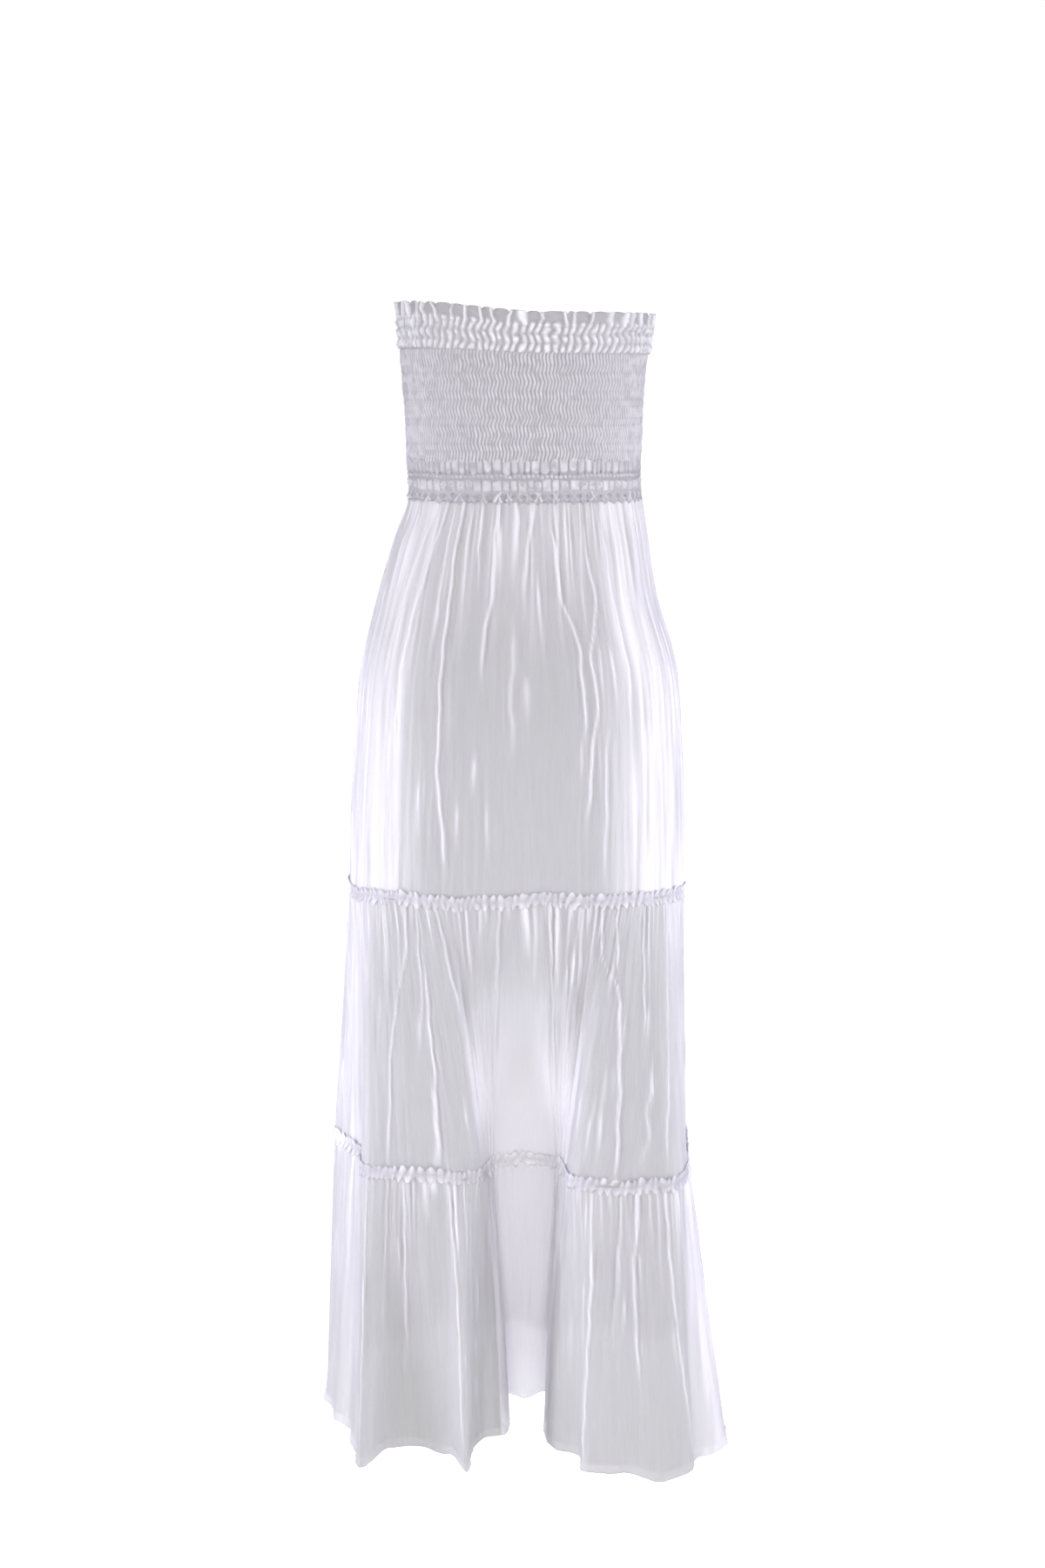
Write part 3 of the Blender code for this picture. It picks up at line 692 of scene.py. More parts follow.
def sewn_cloth(name, node, slot, thickness, held, points, cloth, values, holes=None):
    """A thin shell of cloth through a grid of points, top row first. cloth holds each point's own place on
    the cloth in metres, values what its material reads at each point, by name, and holes which points fall
    in a hole."""
    rows, columns = points.shape[:2]
    bm = bmesh.new()
    bmesh.ops.create_grid(bm, x_segments=columns - 1, y_segments=rows - 1, size=0.5)
    bmesh.ops.reverse_faces(bm, faces=bm.faces)
    mesh = bpy.data.meshes.new(name)
    bm.to_mesh(mesh)
    bm.free()
    mesh.vertices.foreach_set("co", points.astype(np.float32).ravel())
    corners = np.empty(len(mesh.loops), np.int32)
    mesh.loops.foreach_get("vertex_index", corners)
    layer = mesh.uv_layers.new(name="cloth")
    layer.uv.foreach_set("vector", cloth.reshape(-1, 2)[corners].astype(np.float32).ravel())
    for value, at_points in values.items():
        attribute = mesh.attributes.new(value, "FLOAT", "POINT")
        attribute.data.foreach_set("value", at_points.astype(np.float32).ravel())
    if holes is not None:
        bm = bmesh.new()
        bm.from_mesh(mesh)
        open_at = holes.ravel()
        inside = [f for f in bm.faces if all(open_at[v.index] for v in f.verts)]
        bmesh.ops.delete(bm, geom=inside, context="FACES")
        bm.to_mesh(mesh)
        bm.free()
    mesh.shade_smooth()
    mesh.materials.append(finish_of(slot))
    piece = bpy.data.objects.new(name, mesh)
    bpy.context.scene.collection.objects.link(piece)
    shell = piece.modifiers.new("thickness", "SOLIDIFY")
    shell.thickness = thickness
    shell.offset = 0.0
    shell.use_even_offset = False
    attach(piece, "root")
    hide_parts(node)


def sew(prefix, part, slot, thickness, held, seed, make):
    """Sews the back and the front half of a part. make gives a half's points, cloth places and values, and
    any holes."""
    for side, half in enumerate(HALVES):
        node = f"{part}_{half}"
        sewn_cloth(f"{prefix}_{node}", node, slot, thickness, held, *make(half, seed + side))


def spread(outlines, downs, raised):
    """Grid points from one outline and one row of heights for each row, moved out by raised."""
    points = np.empty((*raised.shape, 3))
    for r, (outline, down) in enumerate(zip(outlines, downs)):
        points[r, :, :2] = outline + outward(outline) * raised[r][:, None]
        points[r, :, 2] = -down
    return points


def on_cloth(across, down):
    """Each grid point's own place on the cloth, from its distances across and down it."""
    return np.stack(np.broadcast_arrays(across, down), axis=2)


TIERS = {
    # row function, gathers across one half, how far they reach down, columns, rows
    "tier_1": (tier_1_row, 84, 0.50, 401, 56),
    "tier_2": (tier_2_row, 110, 0.42, 481, 46),
    "tier_3": (tier_3_row, 165, 0.45, 621, 36),
}

# How much closer a tier's rows lie at its top than they would evenly
ROW_CROWDING = 1.25

# Rows on the turned hem, as fractions of its height
HEM_ROWS = (0.08, 0.3, 0.55, 0.8, 1.0)


def hem_start():
    """The fraction of tier 3's height at which its turned hem begins."""
    return 1 - bpy.context.scene.dress_sizes.hem_height / (HEM - SEAM_2)


def tier_fractions(tier, rows):
    """The fractions of a tier's height that its rows lie at: closer together at the seam, and at the hem."""
    if tier == "tier_3":
        start = hem_start()
        body = start * np.linspace(0, 1, rows - len(HEM_ROWS)) ** ROW_CROWDING
        return np.concatenate((body, start + (1 - start) * np.array(HEM_ROWS)))
    return np.linspace(0, 1, rows) ** ROW_CROWDING


def plain_middle(tier, half, across, v):
    """1 where the cloth hangs plainly between the legs, which on the back is the recess, and 0 beside it. It
    narrows upwards."""
    if tier == "tier_1":
        return np.zeros((len(v), len(across)))
    starts = widens = np.ones(len(v))
    if tier == "tier_2":
        starts, widens = ease((v - 0.15) / 0.35), ease((v - 0.05) / 0.5)
    if half == "front":
        return starts[:, None] * ease((0.20 - np.abs(across - 0.5)) / 0.08)
    cloth = along(fold_line_ends(half, "hem"))
    names = [line[0] for line in HALVES[half]]
    left, right, lip = (cloth[names.index(name)] / cloth[-1] for name in ("left corner", "right corner", "right lip"))
    # At the second tier seam the edges that show lie halfway from the corners to the lips, and at the hem
    # on the corners
    towards_lips = (lip - right) / 2 * (1 if tier == "tier_2" else 1 - ease(v / 0.5))
    breadth = ((right - left) / 2 + towards_lips) * (0.12 + 0.88 * widens)
    inside = breadth[:, None] - np.abs(across - (left + right) / 2)
    return starts[:, None] * (0.7 * ease(inside / 0.004 + 0.5) + 0.3 * ease(inside / 0.035))


SIDES_PAINTED_LIGHT = {
    # how much painted light whitens the left side and where it begins, the same of the right side, and how gradually
    "tier_1": (0.85, 0.36, 0.92, 0.61, 0.14),
    "tier_2": (0.55, 0.22, 0.50, 0.78, 0.10),
    "tier_3": (0.42, 0.18, 1.00, 0.81, 0.05),
}


def close_sides(tier, across):
    """How much painted light whitens the cloth towards the side seams."""
    left_painted_light, left, right_painted_light, right, breadth = SIDES_PAINTED_LIGHT[tier]
    return left_painted_light * ease((left - across) / breadth) + right_painted_light * ease((across - right) / breadth)


# The height from which a fold lies fully double, and from which the painted highlight along its crest is full
DOUBLE_FOLD = 0.0012

# Small folds on the left wing of tier 3, as fractions across its back half, with their breadth and depth
WING_FOLDS = (0.034, 0.084, 0.128)
WING_FOLD_BREADTH = 0.011
WING_FOLD_DEPTH = 0.007

# How far the hem ripples up and down, and how far its turned edge stands out and puckers
HEM_RIPPLE = 0.0021
HEM_RAISED = 0.0004
HEM_PUCKER = 0.0003


def tier_cloth(tier, half, seed):
    """(points, cloth places, values) of one half of a tier, with its gathers, crinkles and creases."""
    row_at, count, reach, columns, rows = TIERS[tier]
    sizes = bpy.context.scene.dress_sizes
    across = np.linspace(0, 1, columns)
    v = tier_fractions(tier, rows)
    width, length = CUT_SIZES[f"{tier}_{half}"]
    outlines, downs = zip(*(row_at(half, across, fraction) for fraction in v))
    lying = along(outlines[-1])[-1]
    folds = gathers(across, v, count, sizes.gather_height, reach, seed)
    folds += creases(across, v, lying, CREASES[f"{tier}_{half}"])
    # Painted highlight: the higher a gather or crease stands, the whiter its colour
    fold = np.clip(folds / DOUBLE_FOLD, 0, 1)
    raised = folds + crinkle(columns, rows, 2, 8, seed + 100) * sizes.crinkle_height
    raised += crinkle(columns, rows, 9, 4, seed + 200) * 1.5 * sizes.crinkle_height
    if tier == "tier_3":
        ripple = crinkle(columns, 1, 8, 2, seed + 300)[0] * HEM_RIPPLE
        turned = ease((v - hem_start()) / 0.003)[:, None]
        raised += turned * (HEM_RAISED + crinkle(columns, rows, 3, rows, seed + 400) * HEM_PUCKER)
        fold = np.maximum(fold, 0.3 * turned)
        fade = side_seam_fade(across, 0.02)
        downs = [down + ripple * ease((share - 0.8) / 0.2) * fade for down, share in zip(downs, v)]
        if half == "back":
            # The wing's folds deepen downwards, and the hem steps along them
            wing = sum(hump(across - place, WING_FOLD_BREADTH) for place in WING_FOLDS)
            raised += WING_FOLD_DEPTH * (v**2)[:, None] * wing
    raised *= side_seam_fade(across, 0.012)
    points = spread(outlines, downs, raised)
    # Painted light whitens the cloth towards the side seams, and there the single folds' whitening counts for less
    dense = close_sides(tier, across) * np.clip(0.75 + 0.25 * crinkle(columns, rows, 2, 6, seed + 500), 0.3, 1.2)
    if tier == "tier_1":
        # Painted light whitens the top of tier 1 too, under the waist lace
        dense = np.maximum(dense, 0.28 * ease(1 - v / 0.45)[:, None])
    fold = np.clip(0.8 * fold * (1 - 0.4 * dense) + dense, 0, 1)
    # Between the legs the cloth hangs plainly: painted light makes it paler, and it is more open down by the hem of
    # the back
    plain = plain_middle(tier, half, across, v)
    recess_painted_light = 0.95 + 0.05 * v if tier == "tier_3" else 0.38 + 0.62 * ease((v - 0.40) / 0.4)
    low = ease((v - 0.6) / 0.35) if (tier, half) == ("tier_3", "back") else np.zeros(rows)
    openness = 0.2 + (0.1 + 0.2 * low[:, None]) * plain
    cloth = on_cloth(across * width, (v * length)[:, None])
    return points, cloth, {"openness": openness, "fold": np.maximum(fold, recess_painted_light[:, None] * plain)}


def uneven_pleats(length, pitch, uneven, seed):
    """(how many pleats fit a length, a function that gives the pleat's number along it). Their widths vary."""
    rng = np.random.default_rng(seed)
    count = round(length / pitch)
    turns = np.concatenate(([0.0], np.cumsum(rng.uniform(1 - uneven, 1 + uneven, count))))
    return count, lambda across: np.interp(across * turns[-1], turns, np.arange(count + 1))


# The ruched trim: how wide a puff is, how far its stitching stands off the tier, and how much of its cut
# is gathered in
PUFF_PITCH = 0.0072
TRIM_STANDOFF = 0.0010
TRIM_FULLNESS = 1.5
TRIM_ROWS = np.array([-1, -0.7, -0.35, 0, 0.35, 0.7, 1])


def seam_frill_cloth(above, below, half, seed):
    """(points, cloth places, values) of the ruched strip over the seam of two tiers. It is stitched along
    its middle, and its puffs slant and vary."""
    sizes = bpy.context.scene.dress_sizes
    columns = 541
    across = np.linspace(0, 1, columns)
    rng = np.random.default_rng(seed)
    row_above, row_below = TIERS[above][0], TIERS[below][0]
    length = along(row_above(half, across, 1)[0])
    puffs, pleat_at = uneven_pleats(length[-1], PUFF_PITCH, 0.5, seed)
    wave = pleat_at(length / length[-1])
    lift = np.interp(wave, np.arange(puffs + 1), rng.uniform(0.35, 1.25, puffs + 1))
    slant = np.interp(wave, np.arange(puffs + 1), rng.uniform(-0.15, 0.55, puffs + 1))
    tier_heights = {"tier_1": SEAM_1 - WAIST_LACE_BOTTOM, "tier_2": SEAM_2 - SEAM_1, "tier_3": HEM - SEAM_2}
    drift = crinkle(columns, 1, 12, 2, seed + 1)[0] * 0.0011 * side_seam_fade(across, 0.02)
    outlines, downs, raised = [], [], []
    for t in TRIM_ROWS:
        part = abs(t) * sizes.frill_height / 2
        if t < 0:
            outline, down = row_above(half, across, 1 - part / tier_heights[above])
        else:
            outline, down = row_below(half, across, part / tier_heights[below])
        curl = np.cos(2 * math.pi * (wave + slant * t))
        outlines.append(outline)
        downs.append(down + drift + t * (0.0024 * curl + 0.0004) * lift)
        raised.append(0.0012 + (0.0004 + 0.0016 * abs(t)) * lift * (0.5 + 0.5 * curl))
    raised = np.array(raised) + crinkle(columns, len(TRIM_ROWS), 2, 5, seed + 2) * 0.00025
    fade = side_seam_fade(across, 0.004)
    raised = raised * fade + TRIM_STANDOFF * (1 - fade)
    points = spread(outlines, downs, raised)
    cloth = on_cloth(length * TRIM_FULLNESS, (TRIM_ROWS * CUT_SIZES["seam_frill_1_back"][1] / 2)[:, None])
    height = np.clip((raised - TRIM_STANDOFF) / 0.0020, 0, 1)
    # Painted light whitens its colour in the recess and towards the side seams, and the puffs are painted lighter the
    # higher they stand
    frill_painted_light = 0.2 + 0.5 * plain_middle(below, half, across, np.zeros(1))[0] * (above == "tier_2")
    frill_painted_light = np.maximum(frill_painted_light, 0.9 * (1 - side_seam_fade(across, 0.14)))
    return points, cloth, {"height_in_pleat": np.minimum(frill_painted_light + 0.45 * height, 1), "openness": 0.2 * (1 - height)}


def zigzag(place):
    """0 at even places, 1 at odd ones and evenly between, so that what it shifts steps to and fro."""
    return 2 * np.abs(place / 2 - np.floor(place / 2 + 0.5))


# Tucks across one half of the bodice, and how high a row of elastic pinches them
BODICE_TUCKS = 98
PINCH = 0.0011


def bodice_cloth(half, seed):
    """(points, cloth places, values) of one half of the bodice. Each row of elastic pinches the tucks, which
    step sideways from row to row and so make a honeycomb."""
    sizes = bpy.context.scene.dress_sizes
    columns, rows = 491, 45
    across = np.linspace(0, 1, columns)
    downs = np.linspace(BODICE_TOP, BODICE_BOTTOM, rows)
    wander = crinkle(columns, rows, 12, 9, seed) * 0.16
    uneven = 1 + crinkle(columns, rows, 3, 26, seed + 1) * 0.25
    elastic = downs / sizes.elastic_spacing
    rng = np.random.default_rng(seed + 2)
    shift = np.interp(elastic, np.arange(20), rng.uniform(-0.16, 0.16, 20))
    phase = across * BODICE_TUCKS + (0.75 * zigzag(elastic) + shift)[:, None] + wander
    tuck = 0.5 + 0.5 * np.cos(2 * math.pi * phase)
    pinch = hump((elastic - np.round(elastic)) * sizes.elastic_spacing, PINCH)
    height = tuck**1.2 * np.clip(uneven, 0.3, 1.6) * (1 - 0.25 * pinch)[:, None]
    raised = (height - 0.5) * sizes.tuck_height * side_seam_fade(across, 0.01)
    outlines = [even_outline(half, across, down) for down in downs]
    points = spread(outlines, downs, raised)
    cloth = on_cloth(across * CUT_SIZES[f"bodice_{half}"][0], downs[:, None])
    # The height in the tucks sets the painted shade between them
    return points, cloth, {"height_in_pleat": np.clip(height, 0, 1)}


# The waist lace's rows, down from the bodice: the small holes, the knots, the painted shadows under them, the upper
# holes of the patches, the florets, the foot of the patches, the cord and the crossings of the threads
HOLE_ROW = 0.0108
KNOT_ROW = 0.0140
KNOT_SHADOW_ROW = 0.0160
PATCH_TOP = 0.0165
PATCH_HOLE_ROW = 0.0185
FLORET_ROW = 0.0222
PATCH_FOOT = 0.0290
CORD_ROW = 0.0298
CROSSING_ROW = 0.0335

# Widths of its tucks, knots, patches, cord beads and pairs of crossing threads
LACE_TUCK = 0.0072
KNOT = 0.0046
PATCH = 0.0090
CORD_BEAD = 0.0024
CROSSING = 0.0110


def waist_lace_cloth(half, seed):
    """(points, cloth places, values, holes) of one half of the crochet band. From its top: the ends of the
    tucks, a row of knots with small holes over it, close patches with a floret here and there, and threads
    that cross and hang a little over the first tier."""
    columns, rows = 421, 33
    rng = np.random.default_rng(seed)
    across = np.linspace(0, 1, columns)
    share = np.linspace(0, 1, rows)
    downs = BODICE_BOTTOM + (WAIST_LACE_BOTTOM + 0.001 - BODICE_BOTTOM) * share
    outlines = [even_outline(half, across, down) for down in downs]
    length = along(outlines[0])[-1]
    local = (downs - BODICE_BOTTOM)[:, None] + crinkle(columns, rows, 5, 7, seed + 7) * 0.0006
    weight = np.clip(1 + 0.35 * crinkle(columns, rows, 4, 12, seed + 8), 0.3, 1.6)

    def cells(pitch, uneven, offset):
        """The number, the distance from the middle and the half width of the cell at each point, and how
        many cells there are."""
        count, cell_at = uneven_pleats(length, pitch, uneven, seed + offset)
        place = cell_at(across)
        number = np.clip(place.astype(int), 0, count - 1)
        edges = np.interp(np.arange(count + 1), place, across) * length
        half_width = (edges[number + 1] - edges[number]) / 2
        return number, across * length - edges[number] - half_width, half_width, count

    def beads(pitch, start=0.0):
        """A wave along the band, between -1 and 1."""
        return np.cos(2 * math.pi * across * length / pitch + start)

    def hole(sideways, breadth, down, height):
        """Where an oval hole is open."""
        return (sideways / breadth) ** 2 + (down / height) ** 2 < 1

    tuck, from_tuck, tuck_half, tuck_count = cells(LACE_TUCK, 0.35, 1)
    to_tuck_edge = tuck_half - np.abs(from_tuck)
    tuck_end = rng.uniform(0.0090, 0.0128, tuck_count)[tuck] - 0.0035 * (from_tuck / tuck_half) ** 2
    tucks = (1 - hump(to_tuck_edge, 0.0011)) * ease((tuck_end - local) / 0.0018)
    knots = hump(local - KNOT_ROW, 0.0014) * (0.55 + 0.45 * beads(KNOT))
    patch, from_patch, patch_half, patch_count = cells(PATCH, 0.25, 2)
    to_patch_edge = patch_half - np.abs(from_patch)
    tops = PATCH_TOP + rng.uniform(0.0, 0.0015, patch_count)[patch]
    inside = ease((local - tops) / 0.0015) * ease((PATCH_FOOT - local) / 0.0015)
    patches = (1 - hump(to_patch_edge, 0.0010)) * inside * 0.55
    radius = np.hypot(from_patch, local - FLORET_ROW)
    petals = np.cos(6 * np.arctan2(local - FLORET_ROW, from_patch) + 0.6 * patch)
    floret = hump(radius - 0.0026, 0.0012) * (0.75 + 0.35 * petals) + 0.7 * hump(radius, 0.0008)
    has_floret = (rng.uniform(0, 1, patch_count) < 0.30)[patch]
    patches = np.where(has_floret, np.maximum(floret, patches * 0.6), patches)
    cord = hump(local - CORD_ROW, 0.0011) * (0.6 + 0.4 * beads(CORD_BEAD))
    cross, from_cross, cross_half, cross_count = cells(CROSSING, 0.45, 3)
    lean = rng.uniform(0.5, 1.0, cross_count)[cross]
    strong = rng.uniform(0.3, 1.4, cross_count)[cross]
    below = local - CROSSING_ROW
    from_thread = np.minimum(np.abs(from_cross - lean * below), np.abs(from_cross + lean * below))
    threads = strong * hump(from_thread, 0.0009) * ease((local - 0.0295) / 0.002)
    height = np.clip((tucks * 0.5 + knots * 0.7 + patches + cord * 0.4 + threads * 0.7) * weight, 0, 1.1)
    raised = height * 0.0024 - 0.0004
    raised += crinkle(columns, rows, 3, 16, seed + 4) * 0.0002
    raised *= side_seam_fade(across, 0.01)
    holes = hole(to_tuck_edge, 0.0011, local - HOLE_ROW, 0.0019)
    open_patch = (rng.uniform(0, 1, patch_count) < 0.6)[patch] & ~has_floret
    holes |= open_patch & hole(to_patch_edge, 0.0011, local - PATCH_HOLE_ROW, 0.0016)
    holes |= hole(cross_half - np.abs(from_cross), 0.0012, local - CROSSING_ROW, 0.0018)
    # The foot hangs in small tips. The top edge is uneven and runs up between the tucks of the bodice
    tips = 0.0022 * np.cos(math.pi * from_cross / cross_half) * ease((share - 0.84) / 0.16)[:, None]
    over = ease(1 - share / 0.15)[:, None]
    top_edge = over * (0.0030 + 0.0012 * crinkle(columns, 1, 3, 2, seed + 5)[0])
    heights = downs[:, None] + tips - top_edge
    points = spread(outlines, heights, raised - 0.0003 * over + 0.0010 * ease((share - 0.7) / 0.3)[:, None])
    cloth = on_cloth(across * CUT_SIZES[f"waist_lace_{half}"][0], local)
    # Painted shade in narrow lines between the tucks, and painted shadows under the knots
    groove_painted_shade = hump(to_tuck_edge, 0.0006) * ease((0.0130 - local) / 0.002)
    knot_painted_shadows = hump(local - KNOT_SHADOW_ROW, 0.0008) * (0.5 + 0.5 * beads(KNOT, 1))
    height = np.clip(height, 0, 1)
    # The thread value carries the painted shade and the painted shadows as well as the height
    thread = np.clip(0.06 + 0.7 * height - 0.7 * groove_painted_shade - 0.6 * knot_painted_shadows, 0, 1)
    return points, cloth, {"height_in_pleat": thread, "openness": 0.15 * (1 - height)}, holes


# Rows of stitching that gather the top frill, down from the top of the smocking
FRILL_STITCHES = (-0.0310, -0.0205, -0.0102, 0.0)

# How wide a ribbon of the frill is, and how far the ribbons and the heading's pleats and lobes stand out
RIBBON = 0.0076
RIBBON_HEIGHT = 0.0028
PLEAT_HEIGHT = 0.0034
LOBE_HEIGHT = 0.0012


def top_frill_cloth(half, seed):
    """(points, cloth places, values) of one half of the top frill. Ribbons of lace stand in three ruched rows,
    and step sideways at each row of stitching. Some run on up through the heading as pleats, with flat lobes
    between them."""
    columns = 421
    across = np.linspace(0, 1, columns)
    rng = np.random.default_rng(seed)
    turn = even_outline(half, across, HEADING_STITCH)
    count, ribbon_at = uneven_pleats(along(turn)[-1], RIBBON, 0.3, seed)
    ribbon = ribbon_at(across)
    # Roughly every second ribbon runs on up
    runs_up = np.cumsum(rng.uniform(1.5, 2.6, count)).astype(int)
    runs_up = runs_up[runs_up < count]
    tall = rng.uniform(0.7, 1.2, len(runs_up))[:, None]
    broad = np.where(rng.uniform(0, 1, len(runs_up)) < 0.25, 0.45, 0.17)[:, None]
    lean = rng.uniform(-0.5, 0.5, len(runs_up))
    droop = rng.uniform(0.4, 1.3, len(runs_up) + 1)
    top, stitch = TOP_EDGE, FRILL_STITCHES[0]
    rows = np.concatenate((np.linspace(top, stitch, 12), np.linspace(stitch, BODICE_TOP, 21)[1:]))
    wander = crinkle(columns, len(rows), 9, 7, seed + 5) * 0.14
    uneven = crinkle(columns, len(rows), 3, 14, seed + 6)
    # The whole top edge sits lower towards the wearer's right
    lower = ease((turn[:, 0] + 0.125) / 0.150)
    # The lobes lie between the pleats, and u goes from 0 to 1 across each
    lobe = np.searchsorted(runs_up, ribbon)
    edges = np.concatenate(([0], runs_up, [count]))
    u = (ribbon - edges[lobe]) / np.maximum(edges[lobe + 1] - edges[lobe], 1)
    outlines, downs, raised, heights = [], [], [], []
    for r, down in enumerate(rows):
        stand = np.clip((stitch - down) / (stitch - top), 0, 1)
        band = (down - stitch) / (FRILL_STITCHES[1] - stitch)
        phase = ribbon + (0.45 * zigzag(band) if band > 0 else 0.0) + wander[r]
        bulge = math.sin(math.pi * (band % 1.0)) if band > 0 else 1.0
        ruched = (0.5 + 0.5 * np.cos(2 * math.pi * phase)) ** 1.1
        ruched = ruched * (0.45 + 0.55 * bulge) * (1 + 0.3 * uneven[r])
        places = runs_up[:, None] + (lean * stand)[:, None]
        pleats = (tall * np.exp(-(np.abs((ribbon + wander[r] - places) / broad) ** 3))).max(axis=0)
        rounding = np.abs(2 * u - 1) ** 3 * droop[lobe] * (1 - np.clip(pleats, 0, 1))
        rise = ease(stand / 0.35)
        heading = pleats * PLEAT_HEIGHT + LOBE_HEIGHT * (1 - u) * u * 4 * stand
        out = ruched * RIBBON_HEIGHT * (1 - rise) + heading * rise
        tilt = (0.006 + 0.006 * ease((BODICE_TOP - down) / 0.046)) * lower
        outlines.append(even_outline(half, across, down))
        downs.append(down + tilt + rounding * 0.0030 * ease((stand - 0.5) / 0.5))
        raised.append(out + uneven[r] * 0.00025)
        heights.append(ruched * (1 - rise) + pleats * rise)
    raised = np.array(raised) * side_seam_fade(across, 0.012) + 0.0004
    points = spread(outlines, downs, raised)
    cloth = on_cloth(across * CUT_SIZES[f"top_frill_{half}"][0], (rows - TOP_EDGE)[:, None])
    # Painted shade: the lower parts of the ribbons and pleats are coloured darker
    return points, cloth, {"height_in_pleat": 0.12 + 0.88 * np.clip(np.array(heights), 0, 1)}


class DRESS_OT_top_frill(bpy.types.Operator):
    """Make the upright pleated heading and the ruched rows under it."""

    bl_idname = "dress.top_frill"
    bl_label = "Top Frill"

    def execute(self, context):
        thickness = context.scene.dress_sizes.lace_thickness
        sew("lace", "top_frill", "lace", thickness, "gathered", 71, top_frill_cloth)
        return {"FINISHED"}


class DRESS_OT_bodice(bpy.types.Operator):
    """Make the smocked bodice."""

    bl_idname = "dress.bodice"
    bl_label = "Smocked Bodice"

    def execute(self, context):
        thickness = context.scene.dress_sizes.shirred_thickness
        sew("smocked", "bodice", "shirred_cotton", thickness, "gathered", 81, bodice_cloth)
        return {"FINISHED"}


class DRESS_OT_waist_lace(bpy.types.Operator):
    """Make the crochet band at the empire seam."""

    bl_idname = "dress.waist_lace"
    bl_label = "Waist Lace"

    def execute(self, context):
        thickness = context.scene.dress_sizes.lace_thickness
        sew("crochet", "waist_lace", "lace", thickness, "stretched", 91, waist_lace_cloth)
        return {"FINISHED"}


class DRESS_OT_tiers(bpy.types.Operator):
    """Make the three gathered tiers of the skirt."""

    bl_idname = "dress.tiers"
    bl_label = "Skirt Tiers"

    def execute(self, context):
        thickness = context.scene.dress_sizes.voile_thickness
        for number, tier in enumerate(TIERS, 1):
            sew("voile", tier, "voile", thickness, "gathered", 11 + 10 * number, partial(tier_cloth, tier))
        return {"FINISHED"}


class DRESS_OT_seam_frills(bpy.types.Operator):
    """Make the ruched strips that cover the two tier seams."""

    bl_idname = "dress.seam_frills"
    bl_label = "Seam Frills"

    def execute(self, context):
        thickness = context.scene.dress_sizes.voile_thickness
        for number, (above, below) in enumerate((("tier_1", "tier_2"), ("tier_2", "tier_3")), 1):
            trim = partial(seam_frill_cloth, above, below)
            sew("ruched", f"seam_frill_{number}", "lace", thickness, "gathered", 40 + 10 * number, trim)
        return {"FINISHED"}


SIDE_LIGHT = (0.875, 0.862, 1.0)
FRONT_LIGHT = (1.0, 0.980, 0.95)
WHITE_LIGHT = (1.0, 1.0, 1.0)
SOFTBOXES = (
    # name, its power's property, width and height, place, turn in degrees, colour
    ("side_softbox", "left_softbox", (1.2, 1.0), (-2.4, -0.65, -0.72), (90, 0, -75), SIDE_LIGHT),
    ("side_softbox", "right_softbox", (1.2, 1.0), (2.4, -0.65, -0.60), (90, 0, 75), SIDE_LIGHT),
    ("front_softbox", "front_softbox", (0.9, 1.5), (0.0, -3.2, -0.10), (90, 0, 0), FRONT_LIGHT),
    ("overhead", "overhead", (5.0, 5.0), (0.0, 0.8, 3.6), (0, 0, 0), WHITE_LIGHT),
)
FLOOR_RADIUS = 9.0


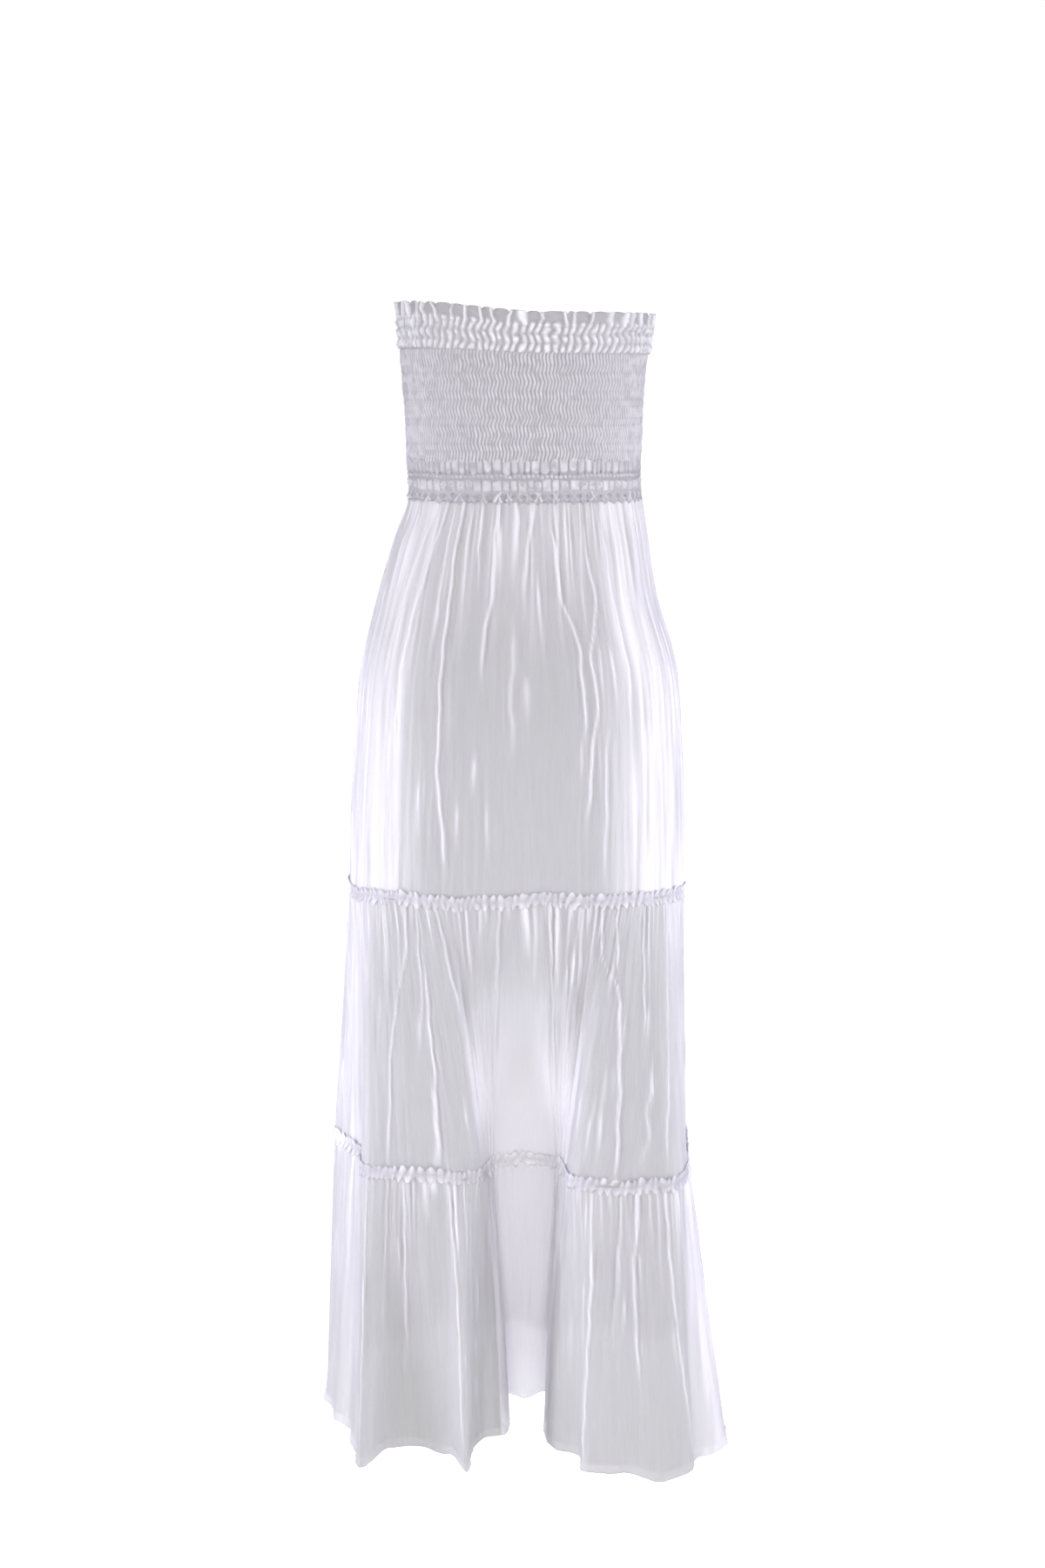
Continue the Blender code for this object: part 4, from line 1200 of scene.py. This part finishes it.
class DRESS_OT_stage(bpy.types.Operator):
    """Make the floor, the white surround, the softboxes and the camera."""

    bl_idname = "dress.stage"
    bl_label = "Stage"

    def execute(self, context):
        scene = context.scene
        studio = scene.dress_studio
        world = bpy.data.worlds.new("white_studio")
        world.use_nodes = True
        walls = world.node_tree.nodes["Background"]
        # The room lights the dress evenly from all round, and the eye sees white on every side
        seen = add_node(world, "ShaderNodeLightPath").outputs["Is Camera Ray"]
        ends = {"data_type": "FLOAT", 2: studio.room_light, 3: studio.backdrop}
        strength = add_node(world, "ShaderNodeMix", ends, {"Factor": seen})
        world.node_tree.links.new(strength.outputs[0], walls.inputs["Strength"])
        walls.inputs["Color"].default_value = (1.0, 1.0, 1.0, 1.0)
        scene.world = world

        bm = bmesh.new()
        bmesh.ops.create_circle(bm, cap_ends=True, segments=96, radius=FLOOR_RADIUS)
        bmesh.ops.translate(bm, verts=bm.verts, vec=(0.0, 0.0, -studio.floor_down))
        mesh = bpy.data.meshes.new("studio_floor")
        bm.to_mesh(mesh)
        bm.free()
        mesh.materials.append(painted_floor())
        floor = bpy.data.objects.new("studio_floor", mesh)
        scene.collection.objects.link(floor)

        for name, power, size, place, turn, colour in SOFTBOXES:
            light = bpy.data.lights.new(name, "AREA")
            light.shape = "RECTANGLE"
            light.size, light.size_y = size
            light.energy = getattr(studio, power)
            light.color = colour
            if name == "side_softbox":
                light.spread = studio.softbox_spread
            box = bpy.data.objects.new(name, light)
            box.location = place
            box.rotation_euler = [math.radians(angle) for angle in turn]
            scene.collection.objects.link(box)

        camera = bpy.data.cameras.new("camera")
        camera.lens = studio.lens
        camera.sensor_width = 36.0
        camera.clip_end = 100.0
        view = bpy.data.objects.new("camera", camera)
        view.location = (0.0, -studio.camera_distance, -studio.camera_down)
        view.rotation_euler = (math.radians(90) - studio.tilt, 0.0, 0.0)
        scene.collection.objects.link(view)
        scene.camera = view
        scene.view_settings.view_transform = "Standard"
        return {"FINISHED"}


class DRESS_PT_panel(bpy.types.Panel):
    """The dress's pieces, sizes and colours."""

    bl_idname = "DRESS_PT_panel"
    bl_label = "Maxi Dress"
    bl_space_type = "VIEW_3D"
    bl_region_type = "UI"
    bl_category = "Dress"

    def draw(self, context):
        layout = self.layout
        for operator in OPERATORS:
            layout.operator(operator.bl_idname)
        for group in (context.scene.dress_sizes, context.scene.dress_colours, context.scene.dress_studio):
            box = layout.box()
            for name in group.bl_rna.properties.keys():
                if name not in ("rna_type", "name"):
                    box.prop(group, name)


OPERATORS = (
    DRESS_OT_stage,
    DRESS_OT_top_frill,
    DRESS_OT_bodice,
    DRESS_OT_waist_lace,
    DRESS_OT_tiers,
    DRESS_OT_seam_frills,
)
CLASSES = (DressSizes, DressColours, DressStudio, *OPERATORS, DRESS_PT_panel)


def register():
    for item in CLASSES:
        bpy.utils.register_class(item)
    bpy.types.Scene.dress_sizes = bpy.props.PointerProperty(type=DressSizes)
    bpy.types.Scene.dress_colours = bpy.props.PointerProperty(type=DressColours)
    bpy.types.Scene.dress_studio = bpy.props.PointerProperty(type=DressStudio)


def unregister():
    del bpy.types.Scene.dress_studio
    del bpy.types.Scene.dress_colours
    del bpy.types.Scene.dress_sizes
    for item in reversed(CLASSES):
        bpy.utils.unregister_class(item)


def main():
    register()
    bpy.ops.dress.stage()
    bpy.ops.dress.top_frill()
    bpy.ops.dress.bodice()
    bpy.ops.dress.waist_lace()
    bpy.ops.dress.tiers()
    bpy.ops.dress.seam_frills()


if __name__ == "__main__":
    main()
